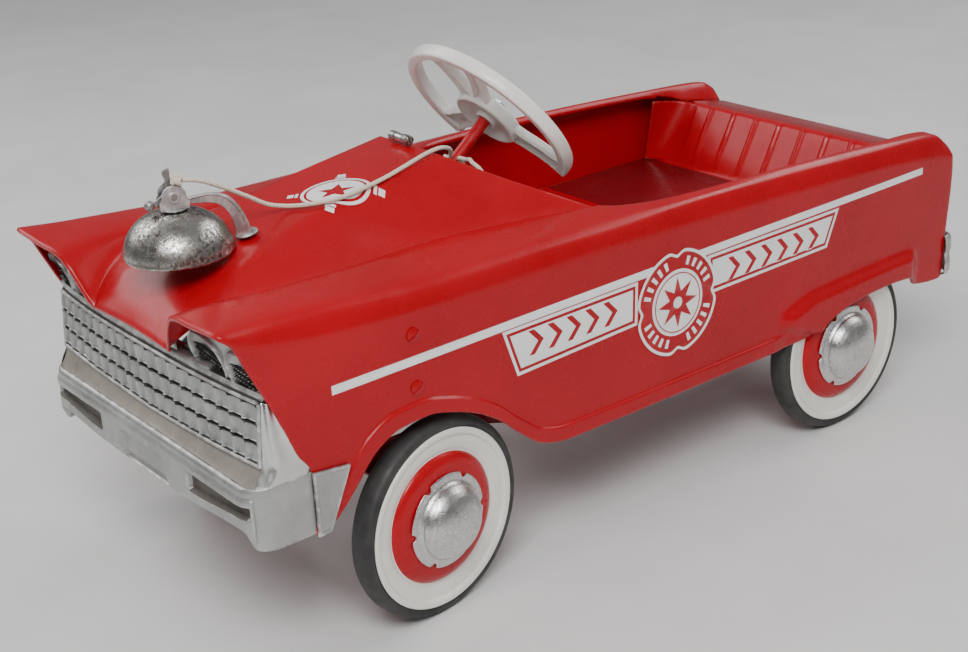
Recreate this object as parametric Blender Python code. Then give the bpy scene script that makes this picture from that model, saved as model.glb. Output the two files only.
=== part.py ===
"""Child's pedal car: pressed steel body, seat stamping, steering, pedal drive, wheels and bell.

World frame in metres: the car faces -Y, +X is its left side, +Z is up, and the floor is z = 0.
The origin lies on the floor under the middle of the car's bounding box.
"""
import math

import bmesh
import bpy
from mathutils import Matrix, Vector

# ---------------------------------------------------------------- driving dimensions
GAP = 0.0004                 # clearance kept between touching pieces
FRONT_Y = -0.2628            # front wheel centre line
WHEELBASE = 0.543
REAR_Y = FRONT_Y + WHEELBASE
WHEEL_X = 0.171              # middle plane of a wheel
TYRE_R = 0.095
AXLE_Z = TYRE_R
SKIN = 0.0015                # steel sheet thickness
SIDE_X = 0.185               # flat of the body side
STEER_REST = math.radians(7.7)

# front axle and steering
KINGPIN_X = 0.140
KINGPIN_Y = FRONT_Y - (WHEEL_X - KINGPIN_X) * math.sin(STEER_REST)
KINGPIN_R = 0.006
STUB_R = 0.0052
BEAM_LOW, BEAM_HIGH = 0.1035, 0.1245
ARM_LOW, ARM_HIGH = 0.0795, 0.0835
ARM_REACH = 0.045
COLUMN_TILT = math.radians(38.5)
COLUMN_R = 0.006
WHEEL_CENTRE = Vector((0.0, 0.213 + FRONT_Y, 0.381))
CRANK_REACH = 0.040
CRANK_PIN_R = 0.004
CRANK_PIN = 0.020
FORK_TOP = 0.2016
TIE_PIN_R = 0.003
COLUMN_LENGTH = 0.2466
STEERING_WHEEL_R = 0.095
STEERING_RIM_DEPTH = 0.014
STEERING_RIM_WIDTH = 0.010

# pedal drive
AXLE_R = 0.005
THROW = 0.030
THROW_ANGLE = math.radians(20)
ROD_X = 0.062
ROD_LENGTH = 0.4435
HANGER_X = 0.056
HANGER_LENGTH = 0.130
PIVOT_Y = FRONT_Y + 0.100
PIVOT_Z = 0.245
PEDAL_ALONG = 0.100          # pedal pin's distance from the rod's front eye
PEDAL_INNER, PEDAL_OUTER = 0.067, 0.117
RAIL_W = 0.012
RAIL_Z = BEAM_HIGH + GAP + RAIL_W / 2

# bell
BELL_AXIS = Vector((0.010, FRONT_Y - 0.136, 0.0))
BELL_RIM_Z = 0.3428
BELL_R = 0.0476
BELL_H = 0.037
BELL_FOOT = Vector((0.027, FRONT_Y - 0.078, 0.3440))

CORD_R = 0.002

# ---------------------------------------------------------------- general helpers
TAU = 2 * math.pi


def clear_scene():
    for old in list(bpy.data.objects):
        bpy.data.objects.remove(old, do_unlink=True)


def finish_of(name, colour, roughness, metallic=0.0):
    found = bpy.data.materials.get(name)
    if found:
        return found
    mat = bpy.data.materials.new(name)
    mat.use_nodes = True
    shader = mat.node_tree.nodes["Principled BSDF"]
    shader.inputs["Base Color"].default_value = (*colour, 1.0)
    shader.inputs["Roughness"].default_value = roughness
    shader.inputs["Metallic"].default_value = metallic
    mat.diffuse_color = (*colour, 1.0)
    return mat


def red():
    return finish_of("red_paint", (0.60, 0.012, 0.02), 0.25)


def dark_red():
    return finish_of("dark_red_paint", (0.22, 0.010, 0.014), 0.4)


def silver():
    return finish_of("silver_paint", (0.55, 0.55, 0.55), 0.42, 0.6)


def white():
    return finish_of("white_plastic", (0.80, 0.78, 0.72), 0.4)


def rubber():
    return finish_of("black_rubber", (0.02, 0.02, 0.021), 0.65)


def chrome():
    return finish_of("chrome_plate", (0.75, 0.75, 0.75), 0.15, 1.0)


def steel():
    return finish_of("bare_steel", (0.42, 0.42, 0.44), 0.45, 0.9)


def cotton():
    return finish_of("cream_cotton", (0.78, 0.71, 0.55), 0.9)


def at_rel(x, y, z):
    """A point given by its distance behind the front wheel centre line."""
    return Vector((x, y + FRONT_Y, z))


def add_object(name, verts, faces, mat, origin=(0, 0, 0), smooth=30):
    """Build a mesh from world points and hang it on an origin of its own."""
    origin = Vector(origin)
    mesh = bpy.data.meshes.new(name)
    mesh.from_pydata([Vector(v) - origin for v in verts], [], faces)
    work = bmesh.new()
    work.from_mesh(mesh)
    bmesh.ops.recalc_face_normals(work, faces=work.faces)
    work.to_mesh(mesh)
    work.free()
    mesh.materials.append(mat)
    if smooth:
        mesh.shade_smooth()
        mesh.set_sharp_from_angle(angle=math.radians(smooth))
    obj = bpy.data.objects.new(name, mesh)
    obj.location = origin
    bpy.context.collection.objects.link(obj)
    return obj


def axis_frame(axis):
    """Two unit vectors that make a right-handed set with the axis."""
    axis = Vector(axis).normalized()
    side = Vector((0, 0, 1)) if abs(axis.z) < 0.9 else Vector((1, 0, 0))
    first = axis.cross(side).normalized()
    return first, axis.cross(first).normalized(), axis


def turned(name, profile, mat, centre, axis, segments=24, origin=None, start=0.0):
    """Turn a (radius, height) outline about an axis; radius 0 at both ends closes it on the axis."""
    first, second, axis = axis_frame(axis)
    centre = Vector(centre)
    verts, rings = [], []
    for radius, height in profile:
        middle = centre + axis * height
        if radius == 0:
            rings.append([len(verts)])
            verts.append(middle)
            continue
        rings.append(list(range(len(verts), len(verts) + segments)))
        for k in range(segments):
            turn = start + TAU * k / segments
            verts.append(middle + (first * math.cos(turn) + second * math.sin(turn)) * radius)
    pairs = list(zip(rings, rings[1:]))
    if profile[0][0] > 0:
        pairs.append((rings[-1], rings[0]))
    faces = []
    for low, high in pairs:
        for k in range(segments):
            nxt = (k + 1) % segments
            if len(low) == 1:
                faces.append((low[0], high[k], high[nxt]))
            elif len(high) == 1:
                faces.append((low[k], high[0], low[nxt]))
            else:
                faces.append((low[k], high[k], high[nxt], low[nxt]))
    return add_object(name, verts, faces, mat, centre if origin is None else origin)


def bent_rod(name, points, radius, mat, sides=8, origin=None, flat=1.0):
    """Sweep a round or square section along straight runs with mitred corners."""
    points = [Vector(p) for p in points]
    runs = [(b - a).normalized() for a, b in zip(points, points[1:])]
    side = Vector((1, 0, 0)) if abs(runs[0].x) < 0.9 else Vector((0, 0, 1))
    side = (side - runs[0] * side.dot(runs[0])).normalized()
    verts, faces = [], []
    for k, point in enumerate(points):
        before = runs[max(k - 1, 0)]
        after = runs[min(k, len(runs) - 1)]
        normal = (before + after).normalized()
        if k > 0:
            side = (side - before * side.dot(before)).normalized()
        up = before.cross(side)
        for n in range(sides):
            turn = TAU * (n + 0.5) / sides
            spoke = (side * math.cos(turn) + up * math.sin(turn) * flat) * radius
            slide = -spoke.dot(normal) / before.dot(normal)
            verts.append(point + spoke + before * slide)
        side = side - normal * (2 * side.dot(normal)) if before.dot(after) < -0.99 else side
        rotation = before.rotation_difference(after)
        side = rotation @ side
    for k in range(len(points) - 1):
        for n in range(sides):
            m = (n + 1) % sides
            faces.append((k * sides + n, (k + 1) * sides + n, (k + 1) * sides + m, k * sides + m))
    faces.append(tuple(range(sides)))
    last = (len(points) - 1) * sides
    faces.append(tuple(range(last, last + sides)))
    return add_object(name, verts, faces, mat, points[0] if origin is None else origin)


def slab(name, outline, thickness, mat, place, origin=None):
    """Extrude a flat outline both ways from the plane of a placing matrix."""
    half = thickness / 2
    count = len(outline)
    verts = [place @ Vector((a, b, -half)) for a, b in outline]
    verts += [place @ Vector((a, b, half)) for a, b in outline]
    faces = [tuple(range(count)), tuple(range(count, 2 * count))]
    for k in range(count):
        nxt = (k + 1) % count
        faces.append((k, nxt, count + nxt, count + k))
    return add_object(name, verts, faces, mat, place.translation if origin is None else origin)


def block(name, low, high, mat, origin=None):
    """An upright box between two corners."""
    middle = (Vector(low) + Vector(high)) / 2
    size = Vector(high) - Vector(low)
    outline = rectangle(size.x, size.y)
    return slab(name, outline, size.z, mat, Matrix.Translation(middle), origin)


def rectangle(width, height):
    w, h = width / 2, height / 2
    return [(-w, -h), (w, -h), (w, h), (-w, h)]


def strap_outline(length, width, steps=5):
    """A flat link with round ends, its two eye centres at 0 and at length along the first axis."""
    half = width / 2
    points = []
    for k in range(steps + 1):
        turn = -math.pi / 2 + math.pi * k / steps
        points.append((length + half * math.cos(turn), half * math.sin(turn)))
    for k in range(steps + 1):
        turn = math.pi / 2 + math.pi * k / steps
        points.append((half * math.cos(turn), half * math.sin(turn)))
    return points


def plane_matrix(origin, first, second):
    """A placing matrix from two in-plane directions."""
    first = Vector(first).normalized()
    second = Vector(second).normalized()
    third = first.cross(second)
    matrix = Matrix((first, second, third)).transposed().to_4x4()
    matrix.translation = Vector(origin)
    return matrix


def cylinder_between(name, start, end, radius, mat, sides=12, origin=None):
    start, end = Vector(start), Vector(end)
    length = (end - start).length
    profile = [(0, 0), (radius, 0), (radius, length), (0, length)]
    return turned(name, profile, mat, start, end - start, sides, origin)


def bake(obj):
    """Replace the object's mesh by its evaluated one, so a helper can be removed."""
    graph = bpy.context.evaluated_depsgraph_get()
    mesh = bpy.data.meshes.new_from_object(obj.evaluated_get(graph))
    mesh.name = obj.name
    obj.modifiers.clear()
    obj.data = mesh


def combine(obj, others, operation):
    """Boolean each helper into the object, then remove the helper."""
    for other in others:
        step = obj.modifiers.new(operation.lower(), "BOOLEAN")
        step.operation = operation
        step.object = other
        step.solver = "EXACT"
        bpy.context.view_layer.update()
        bake(obj)
        bpy.data.objects.remove(other, do_unlink=True)
    obj.data.shade_smooth()
    obj.data.set_sharp_from_angle(angle=math.radians(30))
    return obj


def join_solids(obj, *others):
    return combine(obj, others, "UNION")


def cut_holes(obj, *others):
    return combine(obj, others, "DIFFERENCE")


def hole_cutter(centre, axis, radius, length=0.03, sides=12):
    centre, axis = Vector(centre), Vector(axis).normalized()
    half = axis * (length / 2)
    return cylinder_between("cutter", centre - half, centre + half, radius, steel(), sides)


def read_line(knots, y):
    """Piecewise straight reading of (y, value, value...) knots."""
    if y <= knots[0][0]:
        return knots[0][1:]
    for low, high in zip(knots, knots[1:]):
        if y <= high[0]:
            share = (y - low[0]) / (high[0] - low[0])
            return tuple(a + (b - a) * share for a, b in zip(low[1:], high[1:]))
    return knots[-1][1:]


def smooth_step(value, low, high):
    share = min(max((value - low) / (high - low), 0.0), 1.0)
    return share * share * (3 - 2 * share)


# ---------------------------------------------------------------- pressed steel body
# Lines that run along the body, each as (y behind the front wheels, x, z) knots.
HOOD_CENTRE = [(-0.186, 0.0, 0.287), (-0.175, 0.0, 0.2990), (-0.155, 0.0, 0.3135), (-0.130, 0.0, 0.3255),
               (-0.100, 0.0, 0.338), (-0.060, 0.0, 0.347), (-0.020, 0.0, 0.3555), (0.120, 0.0, 0.3765)]
HOOD_CREASE = [(-0.187, 0.050, 0.286), (-0.175, 0.052, 0.2978), (-0.155, 0.056, 0.3120),
               (-0.130, 0.060, 0.3245), (-0.100, 0.061, 0.3374), (-0.060, 0.054, 0.3464),
               (-0.020, 0.048, 0.3551), (0.120, 0.048, 0.3755)]
HOOD_SLOPE = [(-0.187, 0.063, 0.285), (-0.175, 0.070, 0.2965), (-0.150, 0.078, 0.3122),
              (-0.100, 0.085, 0.3295), (-0.040, 0.080, 0.3370), (0.030, 0.078, 0.3370),
              (0.100, 0.085, 0.3405), (0.165, 0.092, 0.3500)]
VALLEY = [(-0.187, 0.070, 0.288), (-0.175, 0.081, 0.3000), (-0.150, 0.095, 0.314), (-0.120, 0.104, 0.322),
          (-0.080, 0.108, 0.325), (0.000, 0.102, 0.3235), (0.056, 0.100, 0.3222), (0.136, 0.113, 0.3215),
          (0.222, 0.135, 0.3210), (0.250, 0.148, 0.3165), (0.290, 0.1575, 0.3135),
          (0.340, 0.162, 0.3115), (0.450, 0.1635, 0.3075), (0.580, 0.163, 0.3005),
          (0.620, 0.158, 0.2940), (0.645, 0.150, 0.2870), (0.700, 0.147, 0.2775)]
RIM_TOP = [(-0.195, 0.097, 0.324), (-0.175, 0.103, 0.327), (-0.150, 0.109, 0.3285), (-0.100, 0.117, 0.3285),
           (-0.040, 0.119, 0.3275), (0.056, 0.116, 0.3255), (0.136, 0.125, 0.3235), (0.225, 0.142, 0.3215),
           (0.250, 0.152, 0.3190), (0.290, 0.161, 0.3165), (0.340, 0.1655, 0.3148),
           (0.450, 0.167, 0.3110), (0.580, 0.1665, 0.3040), (0.640, 0.162, 0.3000),
           (0.684, 0.160, 0.2950), (0.700, 0.1595, 0.2860)]
FENDER_TOP = [(-0.199, 0.140, 0.331), (-0.150, 0.143, 0.332), (-0.070, 0.146, 0.3275),
              (0.030, 0.146, 0.3235), (0.130, 0.148, 0.3222), (0.225, 0.158, 0.3195),
              (0.290, 0.169, 0.3155), (0.340, 0.1715, 0.3140), (0.450, 0.1725, 0.3105),
              (0.580, 0.172, 0.3040), (0.660, 0.170, 0.2990),
              (0.688, 0.1695, 0.2955), (0.704, 0.169, 0.2870)]
SHOULDER = [(-0.199, 0.180, 0.3335), (-0.160, 0.1765, 0.330), (-0.100, 0.175, 0.325), (0.000, 0.175, 0.3175),
            (0.130, 0.176, 0.3155), (0.225, 0.178, 0.3125), (0.340, 0.179, 0.3100),
            (0.450, 0.1795, 0.3055), (0.580, 0.1795, 0.2990), (0.660, 0.179, 0.2950),
            (0.694, 0.1785, 0.2905), (0.711, 0.178, 0.2790)]
SIDE_TOP = [(-0.188, 0.186, 0.322), (-0.150, 0.1845, 0.312), (-0.100, 0.184, 0.305), (0.000, 0.184, 0.300),
            (0.130, 0.184, 0.298), (0.340, 0.185, 0.293), (0.580, 0.186, 0.283), (0.713, 0.185, 0.268)]
SILL = [(-0.131, 0.128), (-0.108, 0.143), (-0.068, 0.190), (-0.041, 0.203), (0.018, 0.198),
        (0.067, 0.173), (0.118, 0.132), (0.148, 0.126), (0.300, 0.1245), (0.469, 0.124),
        (0.490, 0.124), (0.516, 0.140), (0.564, 0.149), (0.606, 0.150), (0.649, 0.146),
        (0.6615, 0.133), (0.706, 0.130)]
# The slanted front edge and the upright rear edge of the side, as (z, y) knots.
SIDE_FRONT = [(0.128, -0.131), (0.190, -0.125), (0.237, -0.153), (0.279, -0.169), (0.322, -0.188)]
SIDE_REAR = [(0.130, 0.704), (0.175, 0.7075), (0.251, 0.714), (0.268, 0.713)]

FRONT_STATIONS = [-0.131, -0.108, -0.068, -0.041, 0.018, 0.067, 0.118, 0.148, 0.225]
REAR_STATIONS = [0.300, 0.380, 0.469, 0.490, 0.516, 0.564, 0.606, 0.649, 0.6615, 0.706]
DASH_Y = {0: 0.120, 1: 0.120, 2: 0.165, 3: 0.222}
UPPER_LINES = [HOOD_CENTRE, HOOD_CREASE, HOOD_SLOPE, VALLEY, RIM_TOP, FENDER_TOP, SHOULDER, SIDE_TOP]
SIDE_SHARES = [0.25, 0.5, 0.75, 1.0]
FIRST_REAR_LINE = 3


def skirt_bulge(y, z):
    """How far the skirt stands out over the rear wheel."""
    along = smooth_step(y, 0.455, 0.52) * (1 - smooth_step(y, 0.64, 0.69))
    return 0.011 * along * (1 - smooth_step(z, 0.155, 0.225))


def upper_point(index, row):
    """A point of one of the upper lines at a row of the body's net."""
    knots = UPPER_LINES[index]
    first = knots[0][0]
    dash = DASH_Y.get(index, 0.225)
    last = len(FRONT_STATIONS) - 1
    if row <= last:
        span = FRONT_STATIONS[-1] - FRONT_STATIONS[0]
        share = (FRONT_STATIONS[row] - FRONT_STATIONS[0]) / span
        y = first + (dash - first) * share
    else:
        y = REAR_STATIONS[row - last - 1]
        if row == last + len(REAR_STATIONS):
            y = knots[-1][0]
    x, z = read_line(knots, y)
    return Vector((x, y, z))


def side_point(share, row):
    """A point of the flat side, at a share of the way from its top line down to the sill."""
    last = len(FRONT_STATIONS) - 1
    stations = FRONT_STATIONS + REAR_STATIONS
    top = upper_point(len(UPPER_LINES) - 1, row)
    z = top.z + (read_line(SILL, stations[row])[0] - top.z) * share
    front = read_line(SIDE_FRONT, z)[0]
    if row == 0:
        y = front
    elif row < last:
        y = top.y + (stations[row] - top.y) * share
        y = max(y, front + 0.004)
    elif row == last + len(REAR_STATIONS):
        y = read_line(SIDE_REAR, z)[0]
    else:
        y = stations[row]
    x = top.x + (SIDE_X + skirt_bulge(y, z) - top.x) * min(share * 2, 1.0)
    return Vector((x, y, z))


def body_shell():
    """Hood, fenders and sides in one sheet, open below, behind and over the cockpit."""
    rows = len(FRONT_STATIONS) + len(REAR_STATIONS)
    hood_rows = len(FRONT_STATIONS)
    columns = len(UPPER_LINES) + len(SIDE_SHARES)
    index, verts, faces = {}, [], []
    for side in (1, -1):
        for row in range(rows):
            for column in range(columns):
                if row >= hood_rows and column < FIRST_REAR_LINE:
                    continue
                if side < 0 and column == 0:
                    index[side, column, row] = index[1, column, row]
                    continue
                if column < len(UPPER_LINES):
                    point = upper_point(column, row)
                else:
                    point = side_point(SIDE_SHARES[column - len(UPPER_LINES)], row)
                index[side, column, row] = len(verts)
                verts.append(at_rel(point.x * side, point.y, point.z))
        for row in range(rows - 1):
            start = 0 if row < hood_rows - 1 else FIRST_REAR_LINE
            for column in range(start, columns - 1):
                quad = [index[side, column, row], index[side, column + 1, row],
                        index[side, column + 1, row + 1], index[side, column, row + 1]]
                faces.append(tuple(quad if side > 0 else reversed(quad)))
    body = add_object("body_shell", verts, faces, red(), smooth=40)
    thicken(body, SKIN)


def thicken(obj, thickness):
    step = obj.modifiers.new("sheet", "SOLIDIFY")
    step.thickness = thickness
    step.offset = 0.0
    step.use_even_offset = True


def sheet(name, grid, mat, thickness=SKIN):
    """A thickened sheet from a grid of points."""
    wide = len(grid[0])
    verts = [point for line in grid for point in line]
    faces = []
    for row in range(len(grid) - 1):
        for column in range(wide - 1):
            low = row * wide + column
            faces.append((low, low + 1, low + wide + 1, low + wide))
    obj = add_object(name, verts, faces, mat, smooth=40)
    thicken(obj, thickness)
    return obj


# Seat stamping from its front lip back to the rear deck, as (y, z, half width).
SEAT_LINE = [(0.424, 0.196, 0.150), (0.424, 0.210, 0.181), (0.430, 0.215, 0.181), (0.607, 0.215, 0.181),
             (0.640, 0.279, 0.144), (0.646, 0.283, 0.144), (0.704, 0.272, 0.144)]


def seat_pan():
    shares = (-1.0, -0.5, 0.0, 0.5, 1.0)
    grid = [[at_rel(half * share, y, z) for share in shares] for y, z, half in SEAT_LINE]
    sheet("seat_pan", grid, red())


def rear_panel():
    block("rear_panel", at_rel(-0.181, 0.6970, 0.132), at_rel(0.181, 0.6990, 0.266), red())


# Section of the front stamping as (set back behind the bumper's face, z).
FRONT_SECTION = [(0.024, 0.293), (0.018, 0.278), (0.014, 0.271), (0.016, 0.208), (0.004, 0.191),
                 (0.000, 0.185), (0.000, 0.148), (0.003, 0.1430), (0.012, 0.1420)]
FRONT_FACE = -0.190
FRONT_HALF = 0.1845
FRONT_CORNER = 0.0235
FRONT_END = -0.1335


def front_plan(back):
    """Half of the plan at a set back, from the middle round the corner to the side."""
    corner = max(FRONT_CORNER - back, 0.003)
    half, face = FRONT_HALF - back * 0.25, FRONT_FACE + back
    points = [(0.0, face), (0.080, face)]
    for k in range(4):
        turn = math.pi / 2 * k / 3
        points.append((half - corner + corner * math.sin(turn), face + corner - corner * math.cos(turn)))
    points.append((half, FRONT_END))
    return points


def front_panel():
    """Grille, headlight bezels and bumper, pressed as one piece."""
    rows = [(front_plan(back), z) for back, z in FRONT_SECTION]
    right = [[(plan[k][0], plan[k][1], z) for plan, z in rows] for k in range(len(rows[0][0]))]
    left = [[(-x, y, z) for x, y, z in line] for line in reversed(right[1:])]
    grid = [[at_rel(*point) for point in line] for line in left + right]
    sheet("front_panel", grid, silver())


def bumper_wing(side, name):
    """Flag-shaped end of the front bumper, flat on the body side."""
    outline = [(-0.1325, 0.1290), (-0.1215, 0.1330), (-0.0970, 0.1840), (-0.1325, 0.1895)]
    outline = [(y + FRONT_Y, z) for y, z in outline]
    middle = side * (SIDE_X + SKIN / 2 + GAP + 0.0008)
    place = plane_matrix((middle, 0, 0), (0, 1, 0), (0, 0, 1))
    slab(name, outline, 0.0015, silver(), place, origin=at_rel(middle, -0.115, 0.16))


def rear_bumper():
    plan = [(-0.1865, 0.7105), (-0.1840, 0.7180), (-0.1740, 0.7225), (0.0, 0.7240), (0.1740, 0.7225),
            (0.1840, 0.7180), (0.1865, 0.7105)]
    grid = [[at_rel(x, y, z) for z in (0.131, 0.152, 0.175)] for x, y in plan]
    sheet("rear_bumper", grid, silver())


def body_screws():
    """Slotted screws that hold the front brackets through the body side."""
    start = SIDE_X + SKIN / 2 + GAP
    for side, word in ((1, "left"), (-1, "right")):
        for level, z in (("upper", 0.280), ("lower", 0.2315)):
            profile = [(0, 0), (0.0065, 0), (0.0060, 0.0014), (0.0035, 0.0024), (0, 0.0026)]
            name = f"side_screw_{word}_{level}"
            turned(name, profile, red(), at_rel(side * start, -0.0205, z), (side, 0, 0), 12)


def dash_cap():
    """Chrome stepped cap that lies along the edge of the dash."""
    profile = [(0, 0), (0.0038, 0.0), (0.0047, 0.0010), (0.0047, 0.0095), (0.0041, 0.0103),
               (0.0041, 0.0205), (0.0047, 0.0213), (0.0047, 0.0300), (0.0038, 0.0310), (0, 0.0310)]
    centre = at_rel(-0.0245, 0.1175, 0.3822)
    turned("dash_cap", profile, chrome(), centre, (1, 0, 0), 14)


# ---------------------------------------------------------------- undercarriage
def front_axle_beam():
    """Flat beam with an eye for each kingpin."""
    middle_z = (BEAM_LOW + BEAM_HIGH) / 2
    beam = block("front_axle_beam", (-KINGPIN_X, KINGPIN_Y - 0.009, BEAM_LOW + 0.003),
                 (KINGPIN_X, KINGPIN_Y + 0.009, BEAM_HIGH - 0.0), dark_red(),
                 origin=(0, KINGPIN_Y, middle_z))
    for side in (1, -1):
        eye = cylinder_between("eye", (side * KINGPIN_X, KINGPIN_Y, BEAM_LOW),
                               (side * KINGPIN_X, KINGPIN_Y, BEAM_HIGH), 0.011, dark_red(), 16)
        join_solids(beam, eye)
    for side in (1, -1):
        cut_holes(beam, hole_cutter((side * KINGPIN_X, KINGPIN_Y, middle_z), (0, 0, 1),
                                    KINGPIN_R + 0.0005, 0.05, 16))


def front_bracket(side, name):
    """Bent strap from the body side down to the front beam, with a shelf over the tyre."""
    half = 0.0125
    wall = SIDE_X - SKIN / 2 - GAP
    line = [(wall - 0.0018, 0.292), (wall - 0.0014, 0.214), (wall - 0.010, 0.208), (0.118, 0.208),
            (0.110, 0.200), (0.110, 0.1270), (0.126, 0.1262)]
    grid = [[at_rel(side * x, -0.0205 + shift, z) for shift in (-half, half)] for x, z in line]
    sheet(name, grid, dark_red(), 0.0018)


def rail(side, name):
    """Square bar from the front beam back past the rear axle."""
    line = [(0.092, -0.013), (0.092, 0.100), (0.140, 0.160), (0.140, 0.655)]
    points = [at_rel(side * x, y, RAIL_Z) for x, y in line]
    bent_rod(name, points, RAIL_W / math.sqrt(2), dark_red(), sides=4)


def rear_hanger(side, name):
    """Plate under the rail that carries the ball bearing of the rear axle."""
    top = BEAM_HIGH
    outline = [(REAR_Y - 0.014, AXLE_Z), (REAR_Y - 0.010, AXLE_Z - 0.012), (REAR_Y, AXLE_Z - 0.017),
               (REAR_Y + 0.010, AXLE_Z - 0.012), (REAR_Y + 0.014, AXLE_Z), (REAR_Y + 0.026, top),
               (REAR_Y - 0.026, top)]
    place = plane_matrix((side * 0.140, 0, 0), (0, 1, 0), (0, 0, 1))
    plate = slab(name, outline, 0.003, dark_red(), place, origin=(side * 0.140, REAR_Y, AXLE_Z))
    cut_holes(plate, hole_cutter((side * 0.140, REAR_Y, AXLE_Z), (1, 0, 0), 0.0124, 0.02, 20))


def axle_bearing(side, name):
    profile = [(AXLE_R + 0.0004, -0.005), (0.0118, -0.005), (0.0118, 0.005), (AXLE_R + 0.0004, 0.005)]
    turned(name, profile, steel(), (side * 0.140, REAR_Y, AXLE_Z), (1, 0, 0), 16)


def cross_brace(name, y):
    """Strap across the body with an eye that the steering column turns in."""
    along, up = column_vectors()
    travel = (y - 0.213) / along.y
    centre = WHEEL_CENTRE + along * travel
    place = plane_matrix(centre, (1, 0, 0), up)
    width = 2 * (SIDE_X - SKIN / 2 - GAP - 0.0020)
    strap = slab(name, rectangle(width, 0.018), 0.003, dark_red(), place)
    cut_holes(strap, hole_cutter(centre, along, COLUMN_R + 0.0005, 0.03, 16))


def pedal_bracket(side, name):
    """Upright on the rail that carries one end of the pivot rod."""
    low = RAIL_Z + RAIL_W / 2 + GAP
    outline = [(-0.009, low - PIVOT_Z), (0.009, low - PIVOT_Z), (0.008, 0.004), (0.004, 0.009),
               (-0.004, 0.009), (-0.008, 0.004)]
    centre = (side * 0.092, PIVOT_Y, PIVOT_Z)
    place = plane_matrix(centre, (0, 1, 0), (0, 0, 1))
    plate = slab(name, outline, 0.003, dark_red(), place)
    cut_holes(plate, hole_cutter(centre, (1, 0, 0), 0.0044))


def pivot_rod():
    cylinder_between("pedal_pivot_rod", (-0.100, PIVOT_Y, PIVOT_Z), (0.100, PIVOT_Y, PIVOT_Z), 0.004,
                     steel(), 10)


# ---------------------------------------------------------------- steering
def column_vectors():
    """The column's direction towards the driver, and the steering wheel's own up."""
    along = Vector((0, math.cos(COLUMN_TILT), math.sin(COLUMN_TILT)))
    return along, Vector((0, -math.sin(COLUMN_TILT), math.cos(COLUMN_TILT)))


def crank_rest_turn():
    """Turn of the column that matches the angle of the front wheels at rest."""
    return math.asin(ARM_REACH * math.sin(STEER_REST) / CRANK_REACH)


def steering_shaft():
    """Round bar with a flat crank at its lower end; the crank's pin moves the tie rod."""
    along, up = column_vectors()
    turn = crank_rest_turn()
    down = -up * math.cos(turn) - Vector((1, 0, 0)) * math.sin(turn)
    bottom = WHEEL_CENTRE - along * COLUMN_LENGTH
    elbow = bottom + down * CRANK_REACH
    shaft = cylinder_between("steering_shaft", bottom - along * 0.002, WHEEL_CENTRE + along * 0.0215,
                             COLUMN_R, red(), 14, origin=WHEEL_CENTRE)
    place = plane_matrix(bottom, down, along.cross(down))
    join_solids(shaft, slab("crank", strap_outline(CRANK_REACH, 0.016), 0.004, red(), place),
                cylinder_between("pin", elbow, elbow - along * CRANK_PIN, CRANK_PIN_R, red(), 12))


# Steering wheel: the rim leaves a gap between its two lower spokes. Angles as seen from the front.
RIM_START, RIM_END = math.radians(-51), math.radians(208)
SPOKE_ANGLES = [math.radians(a) for a in (-43, 63.5, 93.5, 200)]
HUB_R = 0.034


def steering_wheel():
    along, up = column_vectors()
    first = Vector((1, 0, 0))
    steps = 26
    inner, outer = STEERING_WHEEL_R - STEERING_RIM_WIDTH, STEERING_WHEEL_R
    section = [(inner, 0.0), (outer, 0.0), (outer, STEERING_RIM_DEPTH), (inner, STEERING_RIM_DEPTH)]
    verts, faces = [], []
    for k in range(steps + 1):
        turn = RIM_START + (RIM_END - RIM_START) * k / steps
        spoke = first * math.cos(turn) + up * math.sin(turn)
        verts += [WHEEL_CENTRE + spoke * radius + along * depth for radius, depth in section]
    for k in range(steps):
        for n in range(4):
            m = (n + 1) % 4
            faces.append((4 * k + n, 4 * k + m, 4 * k + 4 + m, 4 * k + 4 + n))
    faces += [(0, 1, 2, 3), (4 * steps, 4 * steps + 1, 4 * steps + 2, 4 * steps + 3)]
    rim = add_object("steering_wheel", verts, faces, white(), origin=WHEEL_CENTRE)
    hub_profile = [(0, -0.002), (HUB_R, 0.001), (HUB_R, 0.011), (0.016, 0.014), (0, 0.014)]
    join_solids(rim, turned("hub", hub_profile, white(), WHEEL_CENTRE, along, 24))
    for turn in SPOKE_ANGLES:
        spoke = first * math.cos(turn) + up * math.sin(turn)
        across = along.cross(spoke)
        middle = (HUB_R - 0.006 + inner + 0.005) / 2
        length = inner + 0.005 - (HUB_R - 0.006)
        place = plane_matrix(WHEEL_CENTRE + spoke * middle + along * 0.0065, spoke, across)
        join_solids(rim, slab("spoke", rectangle(length, 0.014), 0.007, white(), place))
    cut_holes(rim, hole_cutter(WHEEL_CENTRE, along, COLUMN_R + 0.0005, 0.06, 16))


def column_nut():
    along, _ = column_vectors()
    profile = [(COLUMN_R + 0.0005, 0.0146), (0.0105, 0.0146), (0.0105, 0.0205), (COLUMN_R + 0.0005, 0.0205)]
    turned("column_nut", profile, chrome(), WHEEL_CENTRE, along, 12)


def steered(side, x, y, z):
    """A point of a front knuckle: given with the wheel straight, returned as it stands at rest."""
    turned_point = Matrix.Rotation(STEER_REST, 4, "Z") @ Vector((side * x, y, z))
    return turned_point + Vector((side * KINGPIN_X, KINGPIN_Y, 0))


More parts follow.
